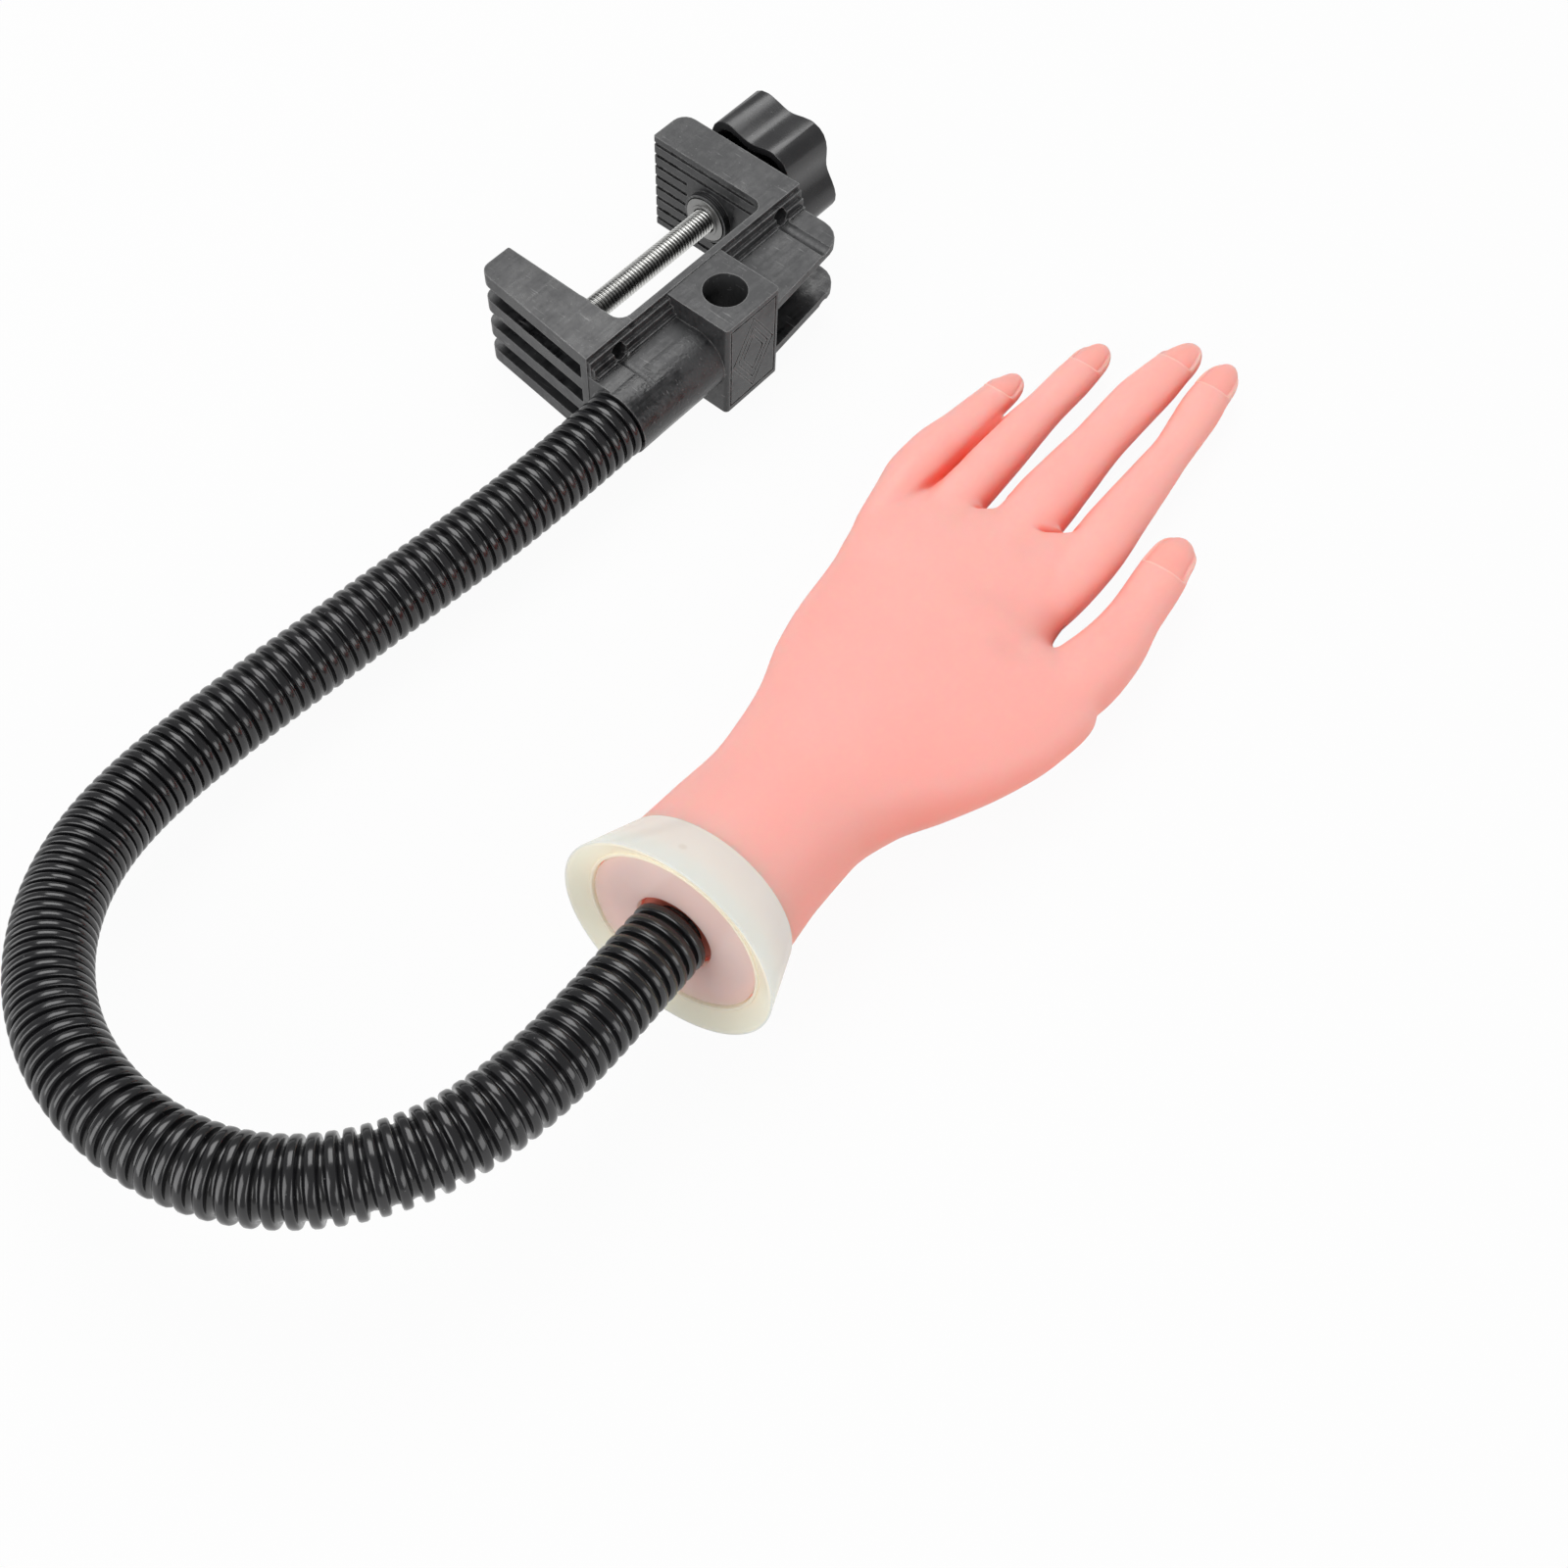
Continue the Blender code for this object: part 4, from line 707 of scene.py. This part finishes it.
def make_hose(route, look):
    """The ribbed hose in lengths that each span one joint. Each rib is a stiff hoop."""
    edges = rib_edges()
    starts = np.concatenate([[0], np.cumsum(SECTION_RIBS)])
    middles = [round((a + b) / 2) for a, b in zip(starts, starts[1:])]
    cuts = [0, *middles[1:-1], len(edges) - 1]
    bodies = ["clamp", *[f"arm_{k}" for k in range(2, len(SECTION_RIBS) + 1)]]
    for number, (first, last) in enumerate(zip(cuts, cuts[1:]), 1):
        rings = [hose_ring(route, edges[first], 0, HOSE_VALLEY)]
        for rib in range(first, last):
            spacing = edges[rib + 1] - edges[rib]
            half = min(CREST_WIDTH, CREST_SHARE * spacing) / 2
            for place, height in CREST_PROFILE:
                radius = HOSE_VALLEY + (HOSE_RADIUS - HOSE_VALLEY) * height
                rings.append(hose_ring(route, (edges[rib] + edges[rib + 1]) / 2, place * half, radius))
            rings.append(hose_ring(route, edges[rib + 1], 0, HOSE_VALLEY))
        hose = mesh_piece(f"ribbed_hose_{number}", [p for ring in rings for p in ring],
                          ring_faces(len(rings), HOSE_SIDES))
        hose.data.materials.append(look)
        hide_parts(f"hose_section_{number}", f"hose_section_{number + 1}")
        ends = [(bodies[number - 1], tuple(route.at(edges[first] + BLEND_INSET))),
                (bodies[number], tuple(route.at(edges[last] - BLEND_INSET)))]
        if number == FROM_FAR_END:
            ends.reverse()
        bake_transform(hose)


def make_arm(route):
    make_hose(route, black_gloss_look("hose_gloss", HOSE_BLACK, HOSE_ROUGHNESS, 0.02))
    core = steel_look("core_metal", CORE_METAL, CORE_ROUGHNESS)
    for number in range(1, len(SECTION_RIBS) + 1):
        dress(f"core_section_{number}", core)


# The wrist

def cup_radius(along):
    return float(np.interp(along + DISC_RECESS, (0, CUP_LENGTH), (CUP_RIM_RADIUS, CUP_END_RADIUS)))


def make_wrist(wrist):
    """The milky cup with its funnel and ring, and the disc."""
    end = CUP_LENGTH - DISC_RECESS
    inner = DISC_RADIUS + GAP
    cup = lathe("milky_cup", softened([
        (end, CUP_END_RADIUS - CUP_WALL),
        (end, CUP_END_RADIUS),
        (-DISC_RECESS, CUP_RIM_RADIUS),
        (-DISC_RECESS, CUP_RIM_RADIUS - CUP_RIM_WIDTH),
        (-0.0001, inner + RING_WIDTH),
        (-RING_HEIGHT, inner + RING_WIDTH),
        (-RING_HEIGHT, inner),
        (DISC_THICKNESS, inner),
        (DISC_THICKNESS, cup_radius(DISC_THICKNESS) - CUP_WALL),
    ], CUP_ROUND), wrist)
    cup.data.materials.append(milky_look("cup_milk", CUP_MILK, CUP_WARM, 0.93, 0.3, CUP_ROUGHNESS,
                                         GATE_MARK, (wrist.translation, wrist.to_3x3().col[0])))
    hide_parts("wrist_cup")
    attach(cup, "hand")
    disc = lathe("milky_disc", softened([
        (DISC_THICKNESS, DISC_HOLE), (DISC_THICKNESS, DISC_RADIUS), (0, DISC_RADIUS), (0, DISC_HOLE),
    ], CUP_ROUND), wrist)
    disc.data.materials.append(milky_look("disc_milk", DISC_MILK, DISC_WARM, 0.62, 0.35, DISC_ROUGHNESS))
    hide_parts("end_disc")
    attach(disc, "hand")


# The hand, in a level frame whose origin is the centre of the cup's rim

def hand_height(share):
    return -HAND_DROP * table_at(DROP_SHARES, share, 1)


def ring_points(centre, half_width, half_depth, squareness=0.0, slant=0.0):
    points = []
    power = 1 / (1 + squareness)
    for k in range(LOFT_SIDES):
        angle = 2 * math.pi * k / LOFT_SIDES
        side, up = math.cos(angle), math.sin(angle)
        aside = half_width * math.copysign(abs(side) ** power, side)
        above = half_depth * math.copysign(abs(up) ** power, up)
        points.append((centre[0] + slant * aside, centre[1] + aside, centre[2] + above))
    return points


def loft(name, rings):
    """A closed body through rings, with a cap at each end."""
    points = [p for ring in rings for p in ring]
    faces = ring_faces(len(rings), LOFT_SIDES)
    faces.append(tuple(reversed(range(LOFT_SIDES))))
    faces.append(tuple(range(len(points) - LOFT_SIDES, len(points))))
    return mesh_piece(name, points, faces)


def steps_between(first, last):
    return np.linspace(first, last, int(abs(last - first) * HAND_LENGTH / LOFT_STEP) + 2)


def palm_body():
    rings = []
    for along in steps_between(PALM_SHARES[0][0], PALM_SHARES[-1][0]):
        thumb_side, little_side, depth, slant = (table_at(PALM_SHARES, along, c) for c in range(1, 5))
        low, high = thumb_side * PALM_BREADTH, little_side * PALM_BREADTH
        centre = (along * HAND_LENGTH, (low + high) / 2, hand_height(along))
        rings.append(ring_points(centre, (high - low) / 2, depth * PALM_DEPTH, PALM_SQUARENESS_SHARE, slant))
    return loft("palm", rings)


def finger_at(rows, along):
    """A finger's middle, half width and half depth at a place along the hand."""
    last, tip = rows[-2][0], rows[-1][0]
    half = table_at(rows[:-1], along, 2)
    if along > last:
        half = rows[-2][2] * math.sqrt(max(0.0, 1 - ((along - last) / (tip - last)) ** 2))
    reach = half * PALM_BREADTH
    share = (along - rows[0][0]) / (tip - rows[0][0])
    depth = FINGER_ROOT_DEPTH_SHARE + (FINGER_TIP_DEPTH_SHARE - FINGER_ROOT_DEPTH_SHARE) * share
    return table_at(rows, along, 1) * PALM_BREADTH, reach, reach * depth


def finger_body(name, rows):
    last, tip = rows[-2][0], rows[-1][0]
    turns = np.radians(np.linspace(0, TIP_END_DEG, TIP_STEPS))
    rings = []
    for along in [*steps_between(rows[0][0], last), *(last + (tip - last) * np.sin(turns[1:]))]:
        side, reach, depth = finger_at(rows, along)
        rings.append(ring_points((along * HAND_LENGTH, side, hand_height(along)), reach, depth))
    return loft(name, rings)


def nail_distance(rows, cuticle, point):
    """How far a point on top of a finger lies inside its nail bed, from the bed's edge."""
    along, last = point.x / HAND_LENGTH, rows[-2][0]
    side, reach, _ = finger_at(rows, min(along, last))
    offset, half = abs(point.y - side), NAIL_SIDE_SHARE * reach
    ahead = point.x - cuticle * HAND_LENGTH - NAIL_BOW * (offset / reach) ** 2
    inward = half - offset
    if along > last:
        past, length = (along - last) * HAND_LENGTH, (rows[-1][0] - last) * HAND_LENGTH
        ratio = math.hypot(past / length, offset / half)
        inward = (1 - ratio) * ratio / math.hypot(past / length ** 2, offset / half ** 2)
    blend = max(NAIL_CORNER - abs(ahead - inward), 0) / NAIL_CORNER
    return min(ahead, inward) - blend * blend * NAIL_CORNER / 4


def tip_share(rows, point):
    """1 over the finger, falling to 0 at the round tip, where the nail bed runs out."""
    last, tip = rows[-2][0], rows[-1][0]
    low, high = NAIL_FADE_SHARES
    t = min(max(((point.x / HAND_LENGTH - last) / (tip - last) - low) / (high - low), 0), 1)
    return 1 - t * t * (3 - 2 * t)


def cut_nails(shape):
    """Finer faces round each nail bed, then the recess and the thin lip at its edge."""
    bed, edge = (shape.verts.layers.float.new(name) for name in ("nail_bed", "nail_lip"))
    for name, cuticle in NAIL_SHARES.items():
        rows = FINGER_SHARES[name]

        def near_bed(point):
            if not cuticle * HAND_LENGTH - NAIL_ROOM < point.x < rows[-1][0] * HAND_LENGTH + NAIL_ROOM:
                return False
            side, reach, _ = finger_at(rows, min(point.x / HAND_LENGTH, rows[-1][0]))
            height = hand_height(point.x / HAND_LENGTH)
            beside = abs(point.y - side) < max(reach, NAIL_ROOM) + NAIL_ROOM / 2
            return beside and point.z > height - NAIL_EDGE

        for _ in range(NAIL_CUTS):
            edges = {e for f in shape.faces if near_bed(f.calc_center_median()) for e in f.edges}
            bmesh.ops.subdivide_edges(shape, edges=list(edges), cuts=1, use_grid_fill=True, smooth=0)
        fine = [v for v in shape.verts if near_bed(v.co)]
        for _ in range(NAIL_SMOOTHS):
            bmesh.ops.smooth_vert(shape, verts=fine, factor=0.5,
                                  use_axis_x=True, use_axis_y=True, use_axis_z=True)
        shape.normal_update()
        moves = []
        for vert in fine:
            inside = nail_distance(rows, cuticle, vert.co)
            t = min(max(inside / NAIL_EDGE + 0.5, 0), 1)
            end_share = tip_share(rows, vert.co)
            vert[bed] = t * t * (3 - 2 * t) * end_share
            vert[edge] = math.exp(-((inside + NAIL_EDGE * 0.9) / (NAIL_LIP_WIDTH / 2)) ** 2) * end_share
            moves.append((vert, vert.normal * (NAIL_LIP * vert[edge] - NAIL_DEPTH * vert[bed])))
        for vert, move in moves:
            vert.co += move


def line_reach(points, places):
    """How far places lie from a line, and how far along it they come, from 0 to 1."""
    line = np.array(points) * (HAND_LENGTH, PALM_BREADTH)
    lengths = np.linalg.norm(np.diff(line, axis=0), axis=1)
    nearest, along = np.full(len(places), np.inf), np.zeros(len(places))
    for k, (start, step) in enumerate(zip(line, np.diff(line, axis=0))):
        t = np.clip((places - start) @ step / lengths[k] ** 2, 0, 1)
        away = np.linalg.norm(places - start - t[:, None] * step, axis=1)
        closer = away < nearest
        nearest = np.where(closer, away, nearest)
        along = np.where(closer, (lengths[:k].sum() + t * lengths[k]) / lengths.sum(), along)
    return nearest, along


def press_folds(mesh):
    """Presses the folds and hollows between the fingers into the top of the hand, and marks the folds for
    their painted shade.
    """
    points = np.array([v.co for v in mesh.vertices])
    normals = np.array([v.normal for v in mesh.vertices])
    painted_fold_shade = np.zeros(len(points))
    for lines, is_fold in ((HOLLOWS, False), (FOLDS, True)):
        for depth, half_width, line in lines:
            away, along = line_reach(line, points[:, :2])
            begins = np.clip(along / FOLD_START_SHARE, 0, 1)
            share = np.where(normals[:, 2] > 0, begins * begins * (3 - 2 * begins), 0)
            points[:, 2] -= depth * share * np.exp(-(away / half_width) ** 2)
            if is_fold:
                # The mark that the material paints as shade along the folds
                painted_fold_shade = np.maximum(painted_fold_shade, share * np.exp(-(away / half_width / FOLD_SHADE_SPREAD) ** 2))
    mesh.vertices.foreach_set("co", points.ravel())
    mesh.attributes.new("fold", "FLOAT", "POINT").data.foreach_set("value", painted_fold_shade)
    mesh.update()


def melted_hand():
    """The lofted palm and fingers, melted together and smoothed, most of all over the knuckles."""
    parts = [palm_body()] + [finger_body(name, rows) for name, rows in FINGER_SHARES.items()]
    shape = bmesh.new()
    for part in parts:
        shape.from_mesh(part.data)
        bpy.data.objects.remove(part)
    mesh = bpy.data.meshes.new("soft_hand")
    shape.to_mesh(mesh)
    shape.free()
    hand = bpy.data.objects.new("soft_hand", mesh)
    bpy.context.scene.collection.objects.link(hand)
    modify(hand, "REMESH", mode="VOXEL", voxel_size=VOXEL, use_smooth_shade=True)
    modify(hand, "SMOOTH", factor=SMOOTH_FACTOR, iterations=SMOOTH_ROUNDS)
    applied(hand)
    group = hand.vertex_groups.new(name="knuckles")
    places, shares = zip(*KNUCKLE_SHARES)
    for vert in hand.data.vertices:
        group.add([vert.index], float(np.interp(vert.co.x / HAND_LENGTH, places, shares)), "REPLACE")
    modify(hand, "SMOOTH", factor=SMOOTH_FACTOR, iterations=KNUCKLE_ROUNDS, vertex_group="knuckles")
    return hand


def make_hand(level, wrist, look):
    """The soft hand, with folds, nail beds and a bore for its socket."""
    hand = melted_hand()
    end = CUP_LENGTH - DISC_RECESS + GAP
    tube_end = DISC_THICKNESS + GAP + SOCKET_LENGTH + GAP
    for name, far, radius in (("front", end, 2 * CUP_RIM_RADIUS), ("bore", tube_end, HOSE_RADIUS + GAP)):
        cutter = lathe(name, [(-CUP_LENGTH, 0.0001), (-CUP_LENGTH, radius), (far, radius), (far, 0.0001)],
                       level.inverted() @ wrist)
        modify(hand, "BOOLEAN", operation="DIFFERENCE", solver="MANIFOLD", object=cutter)
    applied(hand)
    for name in ("front", "bore"):
        bpy.data.objects.remove(bpy.data.objects[name])
    press_folds(hand.data)
    shape = bmesh.new()
    shape.from_mesh(hand.data)
    cut_nails(shape)
    shape.to_mesh(hand.data)
    shape.free()
    hand.data.transform(level)
    hand.data.materials.clear()
    hand.data.materials.append(look)
    hand.data.shade_smooth()
    hand.data.set_sharp_from_angle(angle=math.radians(HAND_SHARP_DEG))
    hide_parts("hand")
    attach(hand, "hand")


def make_collar(wrist, look):
    """The hand's thick end inside the cup, with the pocket behind the disc."""
    end = CUP_LENGTH - DISC_RECESS + GAP
    inner = DISC_RADIUS - POCKET_EDGE
    near = DISC_THICKNESS + GAP
    collar = lathe("hand_collar", softened([
        (near, inner),
        (near, cup_radius(near) - CUP_WALL - GAP),
        (end - GAP, cup_radius(end - GAP) - CUP_WALL - GAP),
        (end + COLLAR_OVERLAP, cup_radius(end) - 2 * CUP_WALL),
        (end + COLLAR_OVERLAP, HOSE_RADIUS + GAP),
        (near + POCKET_DEPTH, HOSE_RADIUS + GAP),
        (near + POCKET_DEPTH, inner),
    ], CUP_ROUND), wrist)
    collar.data.materials.append(look)
    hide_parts("hand")
    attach(collar, "hand")


# Camera, light and table

def matrix_from(ahead, right):
    """Camera matrix from its forward and rightward directions."""
    back = -Vector(ahead).normalized()
    side = Vector(right)
    side = (side - back * side.dot(back)).normalized()
    turn = Matrix((side, back.cross(side), back)).transposed()
    return turn.to_4x4()


def make_camera():
    data = bpy.data.cameras.new("camera")
    data.lens = LENS_MM
    data.sensor_width = SENSOR_MM
    data.clip_start = 0.01
    data.clip_end = 50
    camera = bpy.data.objects.new("camera", data)
    bpy.context.scene.collection.objects.link(camera)
    camera.matrix_world = Matrix.Translation(CAMERA_AT) @ matrix_from(CAMERA_AHEAD, CAMERA_RIGHT)
    bpy.context.scene.camera = camera


def area_light(name, at, towards, size, power):
    data = bpy.data.lights.new(name, "AREA")
    data.shape = "RECTANGLE"
    data.size, data.size_y = size
    data.energy = power
    light = bpy.data.objects.new(name, data)
    bpy.context.scene.collection.objects.link(light)
    light.location = at
    light.rotation_euler = (Vector(towards) - Vector(at)).to_track_quat("-Z", "Y").to_euler()


def seen_directly(tree):
    """1 for rays from the camera, in reflections and through glass, and 0 for the light on the object."""
    path = tree.nodes.new("ShaderNodeLightPath")
    share = path.outputs["Is Camera Ray"]
    for kind in ("Is Glossy Ray", "Is Transmission Ray"):
        either = tree.nodes.new("ShaderNodeMath")
        either.operation = "MAXIMUM"
        tree.links.new(share, either.inputs[0])
        tree.links.new(path.outputs[kind], either.inputs[1])
        share = either.outputs["Value"]
    return share


def make_sky():
    """A world that lights evenly and shows white to the camera."""
    scene = bpy.context.scene
    scene.view_settings.view_transform = "Standard"
    world = bpy.data.worlds.new("studio")
    world.use_nodes = True
    scene.world = world
    tree = world.node_tree
    sky = tree.nodes["Background"]
    sky.inputs["Color"].default_value = (1, 1, 1, 1)
    path = tree.nodes.new("ShaderNodeLightPath")
    strength = tree.nodes.new("ShaderNodeMapRange")
    tree.links.new(path.outputs["Is Camera Ray"], strength.inputs["Value"])
    strength.inputs["To Min"].default_value = SKY_LIGHT
    strength.inputs["To Max"].default_value = 1.0
    tree.links.new(strength.outputs["Result"], sky.inputs["Strength"])


def make_table():
    """A white table that keeps the object's shadow and is clear from below."""
    half = TABLE_SIZE / 2
    floor = mesh_piece("table", [(-half, -half, TABLE_Z), (half, -half, TABLE_Z), (half, half, TABLE_Z),
                                 (-half, half, TABLE_Z)], [(0, 1, 2, 3)])
    material = bpy.data.materials.new("table_white")
    material.use_nodes = True
    tree = material.node_tree
    shader = tree.nodes["Principled BSDF"]
    shader.inputs["Base Color"].default_value = TABLE_GREY
    shader.inputs["Roughness"].default_value = 0.9
    white = tree.nodes.new("ShaderNodeEmission")
    white.inputs["Strength"].default_value = 1.0
    share = tree.nodes.new("ShaderNodeMath")
    share.operation = "MULTIPLY"
    share.inputs[1].default_value = TABLE_WHITE_SHARE
    tree.links.new(seen_directly(tree), share.inputs[0])
    mix = tree.nodes.new("ShaderNodeMixShader")
    tree.links.new(share.outputs["Value"], mix.inputs["Fac"])
    tree.links.new(shader.outputs["BSDF"], mix.inputs[1])
    tree.links.new(white.outputs["Emission"], mix.inputs[2])
    under = tree.nodes.new("ShaderNodeNewGeometry")
    clear = tree.nodes.new("ShaderNodeBsdfTransparent")
    both = tree.nodes.new("ShaderNodeMixShader")
    tree.links.new(under.outputs["Backfacing"], both.inputs["Fac"])
    tree.links.new(mix.outputs["Shader"], both.inputs[1])
    tree.links.new(clear.outputs["BSDF"], both.inputs[2])
    tree.links.new(both.outputs["Shader"], tree.nodes["Material Output"].inputs["Surface"])
    floor.data.materials.append(material)


def main():
    make_camera()
    make_sky()
    make_table()
    for name, lamp in LAMPS.items():
        area_light(name, *lamp)
    make_clamp()
    route = Route(SEAT @ Vector((BARREL_MOUTH, BARREL_Y, 0)))
    make_arm(route)
    end, ahead = route.at(HOSE_LENGTH), route.direction(HOSE_LENGTH)
    yaw, climb = math.atan2(ahead.y, ahead.x), math.asin(ahead.z)
    wrist = Matrix.Translation(end) @ Euler((0, -climb, yaw)).to_matrix().to_4x4()
    level = Matrix.Translation(end - ahead * DISC_RECESS) @ Euler((0, 0, yaw)).to_matrix().to_4x4()
    make_wrist(wrist)
    vinyl = vinyl_look("hand_vinyl_skin", *VINYL_PINKS)
    make_hand(level, wrist, vinyl)
    make_collar(wrist, vinyl)
    # The socket tube is painted darker, a painted shade behind the disc
    dress("socket_tube", vinyl_look("socket_shade_pink", *SOCKET_SHADE_PINKS, soft=0.05))
    dress("wrist_plug", clamp_look())


main()
